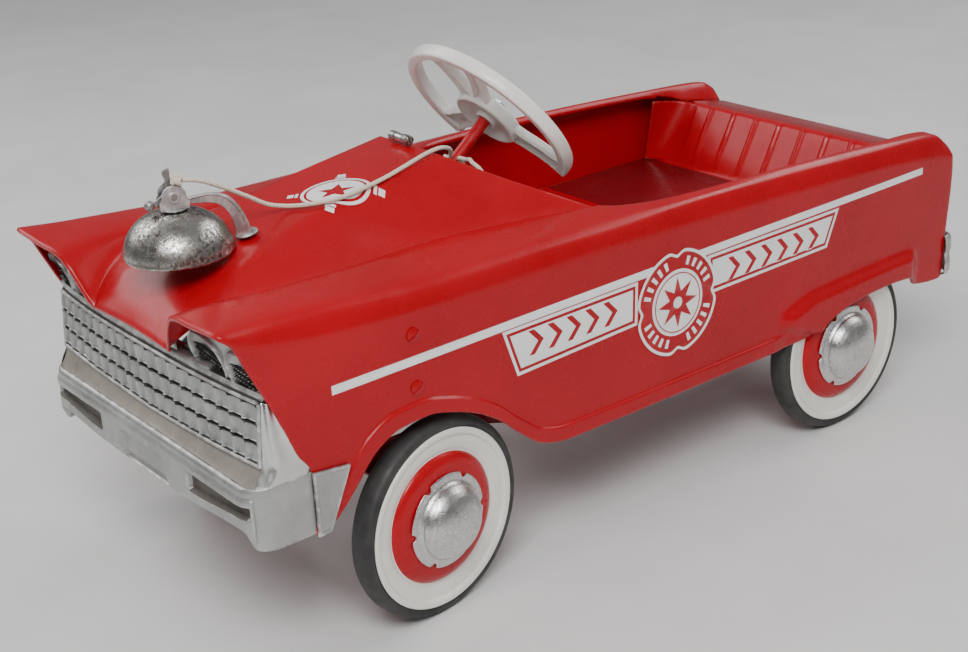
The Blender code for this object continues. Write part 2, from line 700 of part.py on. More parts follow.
def knuckle(side, name):
    """Kingpin, stub axle and steering arm in one forging."""
    origin = (side * KINGPIN_X, KINGPIN_Y, AXLE_Z)
    pin = cylinder_between(name, (side * KINGPIN_X, KINGPIN_Y, ARM_LOW),
                           (side * KINGPIN_X, KINGPIN_Y, BEAM_HIGH + 0.004), KINGPIN_R, dark_red(), 14,
                           origin=origin)
    reach = WHEEL_X - KINGPIN_X + 0.016
    join_solids(pin, cylinder_between("stub", steered(side, 0, 0, AXLE_Z), steered(side, reach, 0, AXLE_Z),
                                      STUB_R, dark_red(), 14))
    start = steered(side, 0, 0, (ARM_LOW + ARM_HIGH) / 2)
    end = steered(side, 0, ARM_REACH, (ARM_LOW + ARM_HIGH) / 2)
    place = plane_matrix(start, end - start, Vector((0, 0, 1)).cross(end - start))
    arm = slab("arm", strap_outline(ARM_REACH + 0.002, 0.017), ARM_HIGH - ARM_LOW, dark_red(), place)
    slot_place = plane_matrix(steered(side, 0, ARM_REACH - 0.0012, 0.08), end - start,
                              Vector((0, 0, 1)).cross(end - start))
    cut_holes(arm, slab("slot", strap_outline(0.0056, 0.0090), 0.02, dark_red(), slot_place))
    join_solids(pin, arm)


def tie_rod():
    """Bar with a pin in each steering arm and an upright fork that the column's crank works in."""
    low = ARM_HIGH + GAP
    high = low + 0.004
    middle_x = -ARM_REACH * math.sin(STEER_REST)
    y = KINGPIN_Y + ARM_REACH * math.cos(STEER_REST)
    origin = (middle_x, y, low)
    place = plane_matrix((middle_x - KINGPIN_X, y, (low + high) / 2), (1, 0, 0), (0, 1, 0))
    bar = slab("tie_rod", strap_outline(2 * KINGPIN_X, 0.012), high - low, steel(), place, origin)
    front = y - 0.006
    fork = block("fork", (middle_x - 0.0120, front, low), (middle_x + 0.0120, front + 0.003, FORK_TOP),
                 steel())
    half = CRANK_PIN_R + 0.0015
    slot = block("slot", (middle_x - half, y - 0.02, 0.178), (middle_x + half, y + 0.02, 0.230), steel())
    cut_holes(fork, slot)
    join_solids(bar, fork)
    for side in (1, -1):
        foot = Vector((side * KINGPIN_X + middle_x, y, ARM_LOW - 0.003))
        join_solids(bar, cylinder_between("pin", foot, (foot.x, foot.y, low + 0.001), TIE_PIN_R, steel(), 12))


# ---------------------------------------------------------------- wheels
TYRE_SECTION = [(0.0795, -0.0088), (0.0843, -0.0092), (0.0870, -0.0115), (0.0920, -0.0105),
                (0.0950, -0.0050), (0.0950, 0.0050), (0.0920, 0.0105), (0.0870, 0.0115),
                (0.0843, 0.0092), (0.0795, 0.0088)]
DISC_SECTION = [(0.0838, 0.0098), (0.0838, 0.0115), (0.0665, 0.0088), (0.0622, 0.0070),
                (0.0600, 0.0092), (0.0530, 0.0126), (0.0430, 0.0138), (0.0057, 0.0140),
                (0.0057, -0.0150), (0.0095, -0.0150), (0.0095, 0.0122), (0.0425, 0.0120),
                (0.0520, 0.0108), (0.0585, 0.0074), (0.0625, 0.0052), (0.0665, 0.0071),
                (0.0770, 0.0092), (0.0775, -0.0113), (0.0838, -0.0113), (0.0838, -0.0098),
                (0.0790, -0.0094), (0.0790, 0.0094)]
CAP_SECTION = [(0, 0.0385), (0.0110, 0.0375), (0.0220, 0.0340), (0.0310, 0.0275), (0.0358, 0.0205),
               (0.0375, 0.0165), (0.0445, 0.0158), (0.0445, 0.0146), (0.0362, 0.0150),
               (0.0346, 0.0199), (0.0300, 0.0265), (0.0213, 0.0328), (0.0106, 0.0362), (0, 0.0372)]


def road_wheel(word, centre, axis):
    """Tyre, stamped disc and hub cap of one wheel; the axis points outwards."""
    turned(f"tyre_{word}", TYRE_SECTION, rubber(), centre, axis, 24)
    turned(f"wheel_disc_{word}", DISC_SECTION, red(), centre, axis, 24)
    turned(f"hub_cap_{word}", CAP_SECTION, chrome(), centre, axis, 24)


# ---------------------------------------------------------------- pedal drive
def throw_vector(side):
    """Where a crank throw stands from the axle's centre line; the two are half a turn apart."""
    return side * THROW * Vector((0, math.cos(THROW_ANGLE), math.sin(THROW_ANGLE)))


def rear_axle():
    centre = Vector((0, REAR_Y, AXLE_Z))
    points = [centre + Vector((-0.186, 0, 0))]
    for side in (-1, 1):
        offset = throw_vector(side)
        places = [(ROD_X + 0.018, 0), (ROD_X + 0.012, 1), (ROD_X - 0.012, 1), (ROD_X - 0.018, 0)]
        if side > 0:
            places.reverse()
        points += [centre + Vector((side * x, 0, 0)) + offset * share for x, share in places]
    points.append(centre + Vector((0.186, 0, 0)))
    bent_rod("rear_axle", points, AXLE_R, steel(), sides=10, origin=centre)


def rod_ends(side):
    """Rear and front eye of a pedal rod, the front one on the hanger's arc."""
    rear = Vector((side * ROD_X, REAR_Y, AXLE_Z)) + throw_vector(side)
    best = None
    for k in range(-400, 401):
        swing = math.radians(k * 0.05)
        front = Vector((side * ROD_X, PIVOT_Y + HANGER_LENGTH * math.sin(swing),
                        PIVOT_Z - HANGER_LENGTH * math.cos(swing)))
        error = abs((front - rear).length - ROD_LENGTH)
        if best is None or error < best[0]:
            best = (error, front)
    return rear, best[1]


def pedal_centre(side):
    rear, front = rod_ends(side)
    return front + (rear - front).normalized() * PEDAL_ALONG


def pedal_rod(side, name):
    """Flat strap from the crank to the hanger, with a welded pin for the pedal."""
    rear, front = rod_ends(side)
    run = rear - front
    place = plane_matrix(front, run, Vector((side, 0, 0)).cross(run))
    strap = slab(name, strap_outline(run.length, 0.016), 0.003, steel(), place, origin=rear)
    centre = pedal_centre(side)
    join_solids(strap, cylinder_between("pin", centre, centre + Vector((side * 0.0585, 0, 0)), 0.004,
                                        steel(), 12))
    cut_holes(strap, hole_cutter(rear, (1, 0, 0), AXLE_R + 0.0005, 0.02, 16),
              hole_cutter(front, (1, 0, 0), 0.0042, 0.02, 12))


def hanger(side, name):
    """Link that carries the front end of a pedal rod from the pivot rod."""
    _, front = rod_ends(side)
    top = Vector((side * HANGER_X, PIVOT_Y, PIVOT_Z))
    low = Vector((side * HANGER_X, front.y, front.z))
    place = plane_matrix(top, low - top, Vector((side, 0, 0)).cross(low - top))
    link = slab(name, strap_outline((low - top).length, 0.014), 0.003, steel(), place, origin=top)
    boss_end = low + Vector((side * 0.0040, 0, 0))
    join_solids(link, cylinder_between("boss", low, boss_end, 0.0042, steel(), 12))
    cut_holes(link, hole_cutter(top, (1, 0, 0), 0.0045, 0.02, 12))


def pedal(side, name):
    """Flat pedal block that turns freely on its pin."""
    centre = pedal_centre(side)
    middle = Vector((side * (PEDAL_INNER + PEDAL_OUTER) / 2, centre.y, centre.z))
    length = PEDAL_OUTER - PEDAL_INNER
    corner = 0.004
    outline = [(-0.020, -0.003), (-0.016, -0.007), (0.016, -0.007), (0.020, -0.003), (0.020, 0.003),
               (0.016, 0.007), (-0.016, 0.007), (-0.020, 0.003)]
    lean = math.radians(18)
    place = plane_matrix(middle, (0, math.cos(lean), math.sin(lean)), (0, -math.sin(lean), math.cos(lean)))
    body = slab(name, outline, length - corner, rubber(), place)
    cut_holes(body, hole_cutter(middle, (1, 0, 0), 0.0046, 0.08, 12))


# ---------------------------------------------------------------- bell
def bell_directions():
    """From the foot towards the dome, across that, and up."""
    towards = Vector((BELL_AXIS.x - BELL_FOOT.x, BELL_AXIS.y - BELL_FOOT.y, 0)).normalized()
    return towards, towards.cross(Vector((0, 0, 1))) * -1, Vector((0, 0, 1))


def bell_dome():
    """Thin gong, open below, with a hole for its stud."""
    steps = 6
    outer, inner = [], []
    for k in range(steps + 1):
        turn = math.pi / 2 * k / steps
        outer.append((BELL_R * math.sin(turn), BELL_H * math.cos(turn)))
        inner.append(((BELL_R - SKIN) * math.sin(turn), (BELL_H - SKIN) * math.cos(turn)))
    hole = 0.0036
    outer[0] = (hole, BELL_H)
    inner[0] = (hole, BELL_H - SKIN)
    centre = BELL_AXIS + Vector((0, 0, BELL_RIM_Z))
    turned("bell_dome", outer + list(reversed(inner)), chrome(), centre, (0, 0, 1), 24)


def bell_top():
    return BELL_RIM_Z + BELL_H


def bell_bracket():
    """Strap from the foot on the hood over the dome, with two ears for the lever's pin."""
    towards, across, up = bell_directions()
    reach = (BELL_AXIS - BELL_FOOT).to_2d().length
    top = bell_top() + 0.0025
    line = [(-0.009, 0.3480), (0.0058, 0.3450), (0.0090, 0.3500), (0.0105, 0.3600), (0.0150, 0.3720),
            (0.0260, top), (0.0400, top), (reach + 0.009, top)]
    foot = Vector((BELL_FOOT.x, BELL_FOOT.y, 0))
    grid = []
    for run, z in line:
        middle = foot + towards * run + up * z
        grid.append([middle - across * 0.0075, middle + across * 0.0075])
    strap = sheet("bell_bracket", grid, silver(), 0.002)
    bake(strap)
    centre = BELL_AXIS + up * (top + 0.0095)
    for side in (1, -1):
        place = plane_matrix(centre + across * (side * 0.0066), towards, up)
        outline = [(-0.0085, -0.0098), (0.0085, -0.0098), (0.0085, 0.001), (0.006, 0.006), (0, 0.0085),
                   (-0.006, 0.006), (-0.0085, 0.001)]
        join_solids(strap, slab("ear", outline, 0.0016, silver(), place))
    hole = foot + up * 0.346
    cut_holes(strap, hole_cutter(centre, across, 0.0024, 0.03, 10),
              hole_cutter(BELL_AXIS + up * top, up, 0.0034, 0.01, 10),
              hole_cutter(hole, up, 0.0030, 0.01, 10))
    return strap


def lever_pivot():
    return BELL_AXIS + Vector((0, 0, bell_top() + 0.0120))


def bell_lever():
    """Upright lever with a round top and a tail that ends in the striker."""
    towards, across, up = bell_directions()
    outline = [(0.0040, -0.0050), (0.0300, -0.0080), (0.0300, -0.0045), (0.0050, 0.0030),
               (0.0035, 0.0160), (0.0050, 0.0190), (0.0030, 0.0230), (0.0, 0.0240), (-0.0030, 0.0230),
               (-0.0050, 0.0190), (-0.0035, 0.0160), (-0.0040, -0.0045), (0.0, -0.0060)]
    pivot = lever_pivot()
    place = plane_matrix(pivot, towards, up)
    lever = slab("bell_lever", outline, 0.002, steel(), place)
    strike = pivot + towards * 0.0348 - up * 0.0062
    join_solids(lever, turned("striker", ball_profile(0.0055, 5), steel(), strike, up, 10))
    cut_holes(lever, hole_cutter(pivot, across, 0.0024, 0.02, 10))


def bell_small_pieces():
    towards, across, up = bell_directions()
    pivot = lever_pivot()
    cylinder_between("bell_pin", pivot - across * 0.0090, pivot + across * 0.0090, 0.0019, steel(), 8)
    stud = BELL_AXIS + up * (bell_top() - 0.0068)
    stud_profile = [(0, 0), (0.0060, 0), (0.0060, 0.0035), (0.0030, 0.0042), (0.0030, 0.0093), (0, 0.0093)]
    turned("bell_stud", stud_profile, steel(), stud, up, 10)
    head = Vector((BELL_FOOT.x, BELL_FOOT.y, 0.3477))
    slope = (up * 0.976 + towards * 0.198).normalized()
    head_profile = [(0, 0), (0.0050, 0), (0.0046, 0.0012), (0.0026, 0.0022), (0, 0.0024)]
    turned("bell_foot_screw", head_profile, steel(), head, slope, 12)


def ball_profile(radius, steps):
    points = []
    for k in range(steps + 1):
        turn = math.pi * k / steps
        points.append((radius * math.sin(turn) if 0 < k < steps else 0, -radius * math.cos(turn)))
    return points


# ---------------------------------------------------------------- pull cord
# The cord's way from the bell's lever over the hood, once round the column and over the dash.
CORD_OVER_HOOD = [(0.0180, -0.1290, 0.4052), (0.0178, -0.1120, 0.4005), (0.0172, -0.0900, 0.3890),
                  (0.0165, -0.0680, 0.3755), (0.0163, -0.0480, 0.3630), (0.0200, -0.0300, 0.3578),
                  (0.0330, -0.0200, 0.3594), (0.0450, -0.0050, 0.3618), (0.0505, 0.0150, 0.3640),
                  (0.0503, 0.0480, 0.3688), (0.0474, 0.0690, 0.3718), (0.0430, 0.0900, 0.3748),
                  (0.0395, 0.1105, 0.3780), (0.0375, 0.1260, 0.3790), (0.0290, 0.1420, 0.3745),
                  (0.0170, 0.1560, 0.3660)]
CORD_TAIL = [(0.0220, 0.1700, 0.3550), (0.0340, 0.1650, 0.3585), (0.0450, 0.1600, 0.3585),
             (0.0540, 0.1600, 0.3555), (0.0590, 0.1620, 0.3480), (0.0605, 0.1635, 0.3380),
             (0.0605, 0.1640, 0.3200), (0.0605, 0.1640, 0.3000), (0.0605, 0.1640, 0.2800)]
LOOP_Y = 0.172
LOOP_R = COLUMN_R + CORD_R + 0.0018
LOOP_START, LOOP_END = math.radians(70), math.radians(385)


def cord_route():
    """The route's hand-chosen points, with the turn round the column worked out."""
    along, up = column_vectors()
    centre = WHEEL_CENTRE + along * ((LOOP_Y - 0.213) / along.y)
    route = [at_rel(*p) for p in CORD_OVER_HOOD]
    steps = 7
    for k in range(steps + 1):
        share = k / steps
        turn = LOOP_START + (LOOP_END - LOOP_START) * share
        spoke = Vector((math.cos(turn), 0, 0)) + up * math.sin(turn)
        route.append(centre + spoke * LOOP_R + along * (0.0055 * (share - 0.5)))
    return route + [at_rel(*p) for p in CORD_TAIL]


def smooth_points(route, spacing):
    """Read evenly spaced points from a smooth curve through the route."""
    dense = []
    for k in range(len(route) - 1):
        p0 = route[max(k - 1, 0)]
        p1, p2 = route[k], route[k + 1]
        p3 = route[min(k + 2, len(route) - 1)]
        for n in range(16):
            t = n / 16
            dense.append(0.5 * (2 * p1 + (p2 - p0) * t + (2 * p0 - 5 * p1 + 4 * p2 - p3) * t * t
                                + (3 * p1 - p0 - 3 * p2 + p3) * t ** 3))
    dense.append(route[-1])
    lengths = [0.0]
    for a, b in zip(dense, dense[1:]):
        lengths.append(lengths[-1] + (b - a).length)
    count = max(2, round(lengths[-1] / spacing))
    points, k = [], 0
    for n in range(count + 1):
        want = lengths[-1] * n / count
        while k < len(dense) - 2 and lengths[k + 1] < want:
            k += 1
        share = (want - lengths[k]) / (lengths[k + 1] - lengths[k])
        points.append(dense[k].lerp(dense[k + 1], min(share, 1.0)))
    return points


def pull_cord():
    points = smooth_points(cord_route(), 0.0062)
    data = bpy.data.curves.new("pull_cord", "CURVE")
    data.dimensions = "3D"
    data.bevel_depth = CORD_R
    data.bevel_resolution = 2
    data.render_resolution_u = 0
    data.use_fill_caps = True
    spline = data.splines.new("POLY")
    spline.points.add(len(points) - 1)
    for place, point in zip(spline.points, points):
        place.co = (*point, 1.0)
    data.materials.append(cotton())
    obj = bpy.data.objects.new("pull_cord", data)
    bpy.context.collection.objects.link(obj)


def cord_knots():
    """Knot beside the lever's top, and the knot that ends the tail."""
    start = at_rel(*CORD_OVER_HOOD[0])
    toward = (at_rel(*CORD_OVER_HOOD[1]) - start).normalized()
    turned("cord_knot", ball_profile(0.0050, 6), cotton(), start - toward * 0.0054, (0, 0, 1), 10)
    end = at_rel(*CORD_TAIL[-1])
    turned("cord_end_knot", ball_profile(0.0045, 6), cotton(), end - Vector((0, 0, 0.0049)), (0, 0, 1), 10)


# ---------------------------------------------------------------- assembly
def build():
    clear_scene()
    body_shell()
    seat_pan()
    rear_panel()
    front_panel()
    rear_bumper()
    body_screws()
    dash_cap()
    front_axle_beam()
    cross_brace("upper_cross_brace", 0.100)
    cross_brace("lower_cross_brace", 0.048)
    pivot_rod()
    steering_shaft()
    steering_wheel()
    column_nut()
    tie_rod()
    rear_axle()
    for side, word in ((1, "left"), (-1, "right")):
        bumper_wing(side, f"bumper_wing_{word}")
        front_bracket(side, f"front_bracket_{word}")
        rail(side, f"rail_{word}")
        rear_hanger(side, f"rear_hanger_{word}")
        axle_bearing(side, f"axle_bearing_{word}")
        pedal_bracket(side, f"pedal_bracket_{word}")
        knuckle(side, f"knuckle_{word}")
        pedal_rod(side, f"pedal_rod_{word}")
        hanger(side, f"pedal_hanger_{word}")
        pedal(side, f"pedal_{word}")
        outward = Matrix.Rotation(STEER_REST, 3, "Z") @ Vector((side, 0, 0))
        road_wheel(f"front_{word}", steered(side, WHEEL_X - KINGPIN_X, 0, AXLE_Z), outward)
        road_wheel(f"rear_{word}", Vector((side * WHEEL_X, REAR_Y, AXLE_Z)), (side, 0, 0))
    bell_dome()
    bell_bracket()
    bell_lever()
    bell_small_pieces()
    pull_cord()
    cord_knots()


build()
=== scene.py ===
"""Looks of the pedal car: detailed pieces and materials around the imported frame."""
import math

import bmesh
import bpy
from mathutils import Matrix, Vector
from mathutils.bvhtree import BVHTree


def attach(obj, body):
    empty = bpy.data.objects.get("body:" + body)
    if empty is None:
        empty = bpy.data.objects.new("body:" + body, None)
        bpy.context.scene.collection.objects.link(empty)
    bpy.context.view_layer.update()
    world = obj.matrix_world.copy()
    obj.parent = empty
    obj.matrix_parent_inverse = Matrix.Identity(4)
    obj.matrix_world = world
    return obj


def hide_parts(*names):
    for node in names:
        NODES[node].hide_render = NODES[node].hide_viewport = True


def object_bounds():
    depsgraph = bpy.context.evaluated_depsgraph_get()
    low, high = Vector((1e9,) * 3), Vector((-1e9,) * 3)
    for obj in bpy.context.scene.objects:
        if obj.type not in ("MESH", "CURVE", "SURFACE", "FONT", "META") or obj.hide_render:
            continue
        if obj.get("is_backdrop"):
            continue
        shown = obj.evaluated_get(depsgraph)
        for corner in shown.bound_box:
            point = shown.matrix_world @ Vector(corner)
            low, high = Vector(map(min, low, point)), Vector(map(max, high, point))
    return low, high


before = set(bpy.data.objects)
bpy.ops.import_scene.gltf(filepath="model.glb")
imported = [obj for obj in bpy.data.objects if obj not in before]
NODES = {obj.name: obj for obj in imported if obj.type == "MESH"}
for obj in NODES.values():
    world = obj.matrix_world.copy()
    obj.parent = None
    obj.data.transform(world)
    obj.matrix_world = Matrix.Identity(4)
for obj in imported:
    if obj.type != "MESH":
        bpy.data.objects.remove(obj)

low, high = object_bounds()
CAD_BOX = [list(low), list(high)]

FRONT_Y = -0.2628            # front wheel centre line
REAR_Y = FRONT_Y + 0.543     # rear wheel centre line
TAU = 2 * math.pi
SIDES = ((1, "left"), (-1, "right"))
SCREW_Y = -0.0205            # line of the two screws on each side
SIDE_HALF = 0.185            # half width of the body below its shoulder


def at_rel(x, y, z):
    """A point given by its distance behind the front wheel centre line."""
    return Vector((x, y + FRONT_Y, z))


# ---------------------------------------------------------------- camera and light
def add_camera():
    data = bpy.data.cameras.new("camera")
    data.lens = 60.57
    data.sensor_width = 36.0
    data.clip_start = 0.05
    cam = bpy.data.objects.new("camera", data)
    azimuth, elevation, roll = (math.radians(degrees) for degrees in (52.277, 22.765, -3.12))
    turn = Matrix.Rotation(azimuth, 4, "Z") @ Matrix.Rotation(math.pi / 2 - elevation, 4, "X")
    turn = turn @ Matrix.Rotation(roll, 4, "Z")
    cam.matrix_world = Matrix.Translation(at_rel(1.2115, -0.7395, 0.810)) @ turn
    bpy.context.scene.collection.objects.link(cam)
    bpy.context.scene.camera = cam


# name, place, what it faces, width and height, watts
LIGHTS = (("key", (1.6, -1.4, 2.3), (0, 0, 0.2), (1.5, 1.1), 72),
          ("fill", (-1.8, -1.0, 1.8), (0, 0, 0.2), (1.6, 1.6), 26),
          ("back", (0.3, 2.4, 2.2), (0, 0.1, 0.2), (2.0, 1.0), 34))


def add_light(name, place, target, size, power):
    data = bpy.data.lights.new(name, "AREA")
    data.shape = "RECTANGLE"
    data.size, data.size_y = size
    data.energy = power
    obj = bpy.data.objects.new(name, data)
    place, target = Vector(place), Vector(target)
    obj.location = place
    obj.rotation_euler = (target - place).to_track_quat("-Z", "Y").to_euler()
    bpy.context.scene.collection.objects.link(obj)


def add_world():
    world = bpy.data.worlds.new("studio")
    bpy.context.scene.world = world
    world.use_nodes = True
    tree = world.node_tree
    back = tree.nodes["Background"]
    coord = tree.nodes.new("ShaderNodeTexCoord")
    split = tree.nodes.new("ShaderNodeSeparateXYZ")
    ramp = tree.nodes.new("ShaderNodeValToRGB")
    tree.links.new(coord.outputs["Generated"], split.inputs[0])
    tree.links.new(split.outputs["Z"], ramp.inputs[0])
    tree.links.new(ramp.outputs[0], back.inputs["Color"])
    ramp.color_ramp.elements[0].color = (0.50, 0.49, 0.48, 1)
    ramp.color_ramp.elements[0].position = 0.0
    ramp.color_ramp.elements[1].color = (0.95, 0.96, 0.98, 1)
    ramp.color_ramp.elements[1].position = 0.7
    back.inputs["Strength"].default_value = 0.34


# ---------------------------------------------------------------- materials
class Paint:
    """A Principled material that is put together from a few kinds of node."""

    def __init__(self, name, colour, roughness, metallic=0.0, coat=0.0, coat_roughness=0.05):
        self.mat = bpy.data.materials.new(name)
        self.mat.use_nodes = True
        self.mat.diffuse_color = (*colour, 1)
        self.tree = self.mat.node_tree
        self.shader = self.tree.nodes["Principled BSDF"]
        self.shader.inputs["Base Color"].default_value = (*colour, 1)
        self.shader.inputs["Roughness"].default_value = roughness
        self.shader.inputs["Metallic"].default_value = metallic
        self.shader.inputs["Coat Weight"].default_value = coat
        self.shader.inputs["Coat Roughness"].default_value = coat_roughness
        self.coord = self.tree.nodes.new("ShaderNodeTexCoord").outputs["Object"]

    def node(self, kind, inputs=None, **settings):
        made = self.tree.nodes.new(kind)
        for key, value in settings.items():
            setattr(made, key, value)
        for key, value in (inputs or {}).items():
            if isinstance(value, bpy.types.NodeSocket):
                self.tree.links.new(value, made.inputs[key])
            else:
                made.inputs[key].default_value = value
        return made

    def noise(self, scale, detail=4.0, rough=0.6, stretch=None, distortion=0.0):
        vector = self.coord
        if stretch:
            vector = self.node("ShaderNodeMapping", {"Vector": vector, "Scale": stretch}).outputs[0]
        inputs = {"Vector": vector, "Scale": scale, "Detail": detail, "Roughness": rough,
                  "Distortion": distortion}
        return self.node("ShaderNodeTexNoise", inputs).outputs["Fac"]

    def cells(self, scale, feature="F1"):
        inputs = {"Vector": self.coord, "Scale": scale}
        return self.node("ShaderNodeTexVoronoi", inputs, feature=feature).outputs["Distance"]

    def ramp(self, value, stops, ease="LINEAR"):
        made = self.node("ShaderNodeValToRGB", {"Fac": value})
        made.color_ramp.interpolation = ease
        elements = made.color_ramp.elements
        while len(elements) < len(stops):
            elements.new(0.5)
        for element, (position, shade) in zip(elements, stops):
            element.position = position
            element.color = (*shade, 1) if isinstance(shade, tuple) else (shade, shade, shade, 1)
        return made.outputs["Color"]

    def mix(self, share, first, second):
        made = self.node("ShaderNodeMix", {"Factor": share}, data_type="RGBA")
        for key, value in ((6, first), (7, second)):
            if isinstance(value, bpy.types.NodeSocket):
                self.tree.links.new(value, made.inputs[key])
            else:
                made.inputs[key].default_value = (*value, 1)
        return made.outputs[2]

    def math(self, operation, first, second=0.0):
        made = self.node("ShaderNodeMath", {0: first, 1: second}, operation=operation)
        return made.outputs[0]

    def edge_wear(self, amount=0.5, low=0.53, high=0.60):
        """Convex edges, broken up by noise."""
        point = self.node("ShaderNodeNewGeometry").outputs["Pointiness"]
        edge = self.ramp(point, [(low, 0.0), (high, 1.0)])
        spots = self.ramp(self.noise(90, 5), [(0.45, 0.0), (0.60, 1.0)])
        return self.math("MULTIPLY", self.math("MULTIPLY", edge, spots), amount)

    def use(self, colour=None, roughness=None, bump=None, strength=0.1, distance=0.001, metallic=None):
        links = self.tree.links
        if colour is not None:
            links.new(colour, self.shader.inputs["Base Color"])
        if roughness is not None:
            links.new(roughness, self.shader.inputs["Roughness"])
        if metallic is not None:
            links.new(metallic, self.shader.inputs["Metallic"])
        if bump is not None:
            made = self.node("ShaderNodeBump", {"Height": bump, "Strength": strength, "Distance": distance})
            links.new(made.outputs[0], self.shader.inputs["Normal"])
        return self.mat


def enamel(name, colour, dark, chips=0.5):
    """Glossy paint: slight fading, dust in patches, orange peel and small chips."""
    p = Paint(name, colour, 0.30, coat=0.08, coat_roughness=0.10)
    p.shader.inputs["Specular IOR Level"].default_value = 0.26
    fade = p.ramp(p.noise(6, 5), [(0.30, dark), (0.70, colour)])
    specks = p.ramp(p.cells(420), [(0.020, 1.0), (0.05, 0.0)])
    where = p.ramp(p.noise(22, 3), [(0.58, 0.0), (0.72, 1.0)])
    chip = p.math("MULTIPLY", p.math("MULTIPLY", specks, where), chips)
    worn = p.mix(chip, fade, (0.42, 0.20, 0.18))
    worn = p.mix(p.edge_wear(0.25), worn, (0.50, 0.16, 0.15))
    rough = p.ramp(p.noise(14, 6, 0.7), [(0.35, 0.20), (0.75, 0.42)])
    peel = p.math("ADD", p.noise(260, 2), p.math("MULTIPLY", p.noise(18, 3), 1.6))
    return p.use(worn, rough, peel, 0.06, 0.0006)


def silver_paint():
    p = Paint("silver_paint", (0.42, 0.42, 0.41), 0.42, metallic=0.8)
    tone = p.ramp(p.noise(16, 6, 0.65), [(0.3, (0.30, 0.30, 0.29)), (0.7, (0.50, 0.50, 0.49))])
    grime = p.ramp(p.noise(38, 6, 0.7, distortion=0.4), [(0.58, 0.0), (0.80, 1.0)])
    tone = p.mix(p.math("MULTIPLY", grime, 0.45), tone, (0.30, 0.25, 0.20))
    # Darker where ambient occlusion finds hollows: painted shade.
    recess_shade = p.node("ShaderNodeAmbientOcclusion", {"Distance": 0.012}).outputs["AO"]
    tone = p.mix(p.ramp(recess_shade, [(0.35, 0.75), (0.85, 0.0)]), tone, (0.06, 0.055, 0.05))
    tone = p.mix(p.edge_wear(0.8, 0.51, 0.56), tone, (0.80, 0.80, 0.79))
    rough = p.ramp(p.noise(60, 5), [(0.3, 0.30), (0.7, 0.55)])
    return p.use(tone, rough, p.noise(180, 5, 0.7), 0.22, 0.0006)


def tan_shelf(name="brown_grey_silver", share=1.0):
    """Browner, darker silver; share darkens it further, and the darker copy in the bumper's slots is painted
    shade.
    """
    p = Paint(name, (0.42 * share, 0.38 * share, 0.33 * share), 0.5, metallic=0.35)
    tone = p.ramp(p.noise(26, 6, 0.7), [(0.3, (0.20 * share, 0.18 * share, 0.155 * share)),
                                        (0.7, (0.34 * share, 0.31 * share, 0.27 * share))])
    rough = p.ramp(p.noise(60, 5), [(0.3, 0.38), (0.7, 0.62)])
    return p.use(tone, rough, p.noise(220, 5, 0.7), 0.25, 0.0006)


# Near-black material for the inner faces of sheets, the gaps and the hollows: painted shade.
def painted_shade_material():
    p = Paint("painted_shade_black", (0.035, 0.032, 0.03), 0.7, metallic=0.2)
    tone = p.ramp(p.noise(60, 5), [(0.3, (0.02, 0.019, 0.018)), (0.7, (0.09, 0.08, 0.07))])
    return p.use(tone, p.ramp(p.noise(90, 3), [(0.3, 0.5), (0.7, 0.85)]), p.noise(300, 3), 0.2, 0.0005)


def pitted_chrome(name="chrome_plate", pits=0.5, scale=1.0, plate_tone=(0.78, 0.77, 0.75),
                  haze=0.0, mottle=0.0):
    """Bright plating with clusters of dark pits and a little brown bloom."""
    p = Paint(name, (0.74, 0.73, 0.71), 0.12, metallic=1.0)
    spots = p.ramp(p.cells(520 * scale), [(0.05, 1.0), (0.22, 0.0)])
    where = p.ramp(p.noise(26 * scale, 6, 0.7), [(0.60 - pits * 0.28, 0.0), (0.78 - pits * 0.2, 1.0)])
    pit = p.math("MULTIPLY", spots, where)
    bloom = p.ramp(p.noise(60 * scale, 6, 0.75), [(0.52, 0.0), (0.75, 1.0)])
    tone = p.mix(p.math("MULTIPLY", bloom, pits * 0.5), plate_tone, (0.30, 0.23, 0.16))
    tone = p.mix(p.math("MULTIPLY", pit, pits * 1.6), tone, (0.07, 0.05, 0.04))
    if mottle:
        flakes = p.ramp(p.noise(300, 9, 0.85, distortion=0.6), [(0.46, 0.0), (0.53, 1.0)])
        patches = p.ramp(p.noise(34, 4, 0.6), [(0.32, 0.35), (0.54, 1.0)])
        pit = p.math("MAXIMUM", pit, p.math("MULTIPLY", flakes, patches))
        tone = p.mix(p.math("MULTIPLY", pit, mottle), tone, (0.045, 0.032, 0.022))
    rough = p.ramp(p.math("ADD", p.math("MULTIPLY", pit, pits), p.noise(90 * scale, 5)),
                   [(0.35, 0.07 + haze), (1.0, 0.42 + haze)])
    return p.use(tone, rough, p.math("SUBTRACT", p.noise(120, 4), pit), 0.15, 0.0004)


def bare_steel():
    p = Paint("bare_steel", (0.36, 0.35, 0.34), 0.45, metallic=0.9)
    tone = p.ramp(p.noise(40, 6, 0.7), [(0.3, (0.22, 0.20, 0.18)), (0.7, (0.46, 0.45, 0.44))])
    rough = p.ramp(p.noise(80, 5), [(0.3, 0.34), (0.7, 0.62)])
    return p.use(tone, rough, p.noise(260, 4), 0.2, 0.0004)


def white_enamel(name, colour=(0.78, 0.76, 0.70), rough_low=0.25):
    p = Paint(name, colour, 0.35, coat=0.2)
    tone = p.ramp(p.noise(20, 6, 0.65), [(0.3, tuple(c * 0.90 for c in colour)), (0.65, colour)])
    dirt = p.ramp(p.noise(75, 6, 0.75), [(0.60, 0.0), (0.78, 1.0)])
    tone = p.mix(p.math("MULTIPLY", dirt, 0.35), tone, (0.34, 0.28, 0.20))
    rough = p.ramp(p.noise(50, 4), [(0.3, rough_low), (0.7, rough_low + 0.2)])
    return p.use(tone, rough, p.noise(140, 4), 0.12, 0.0005)


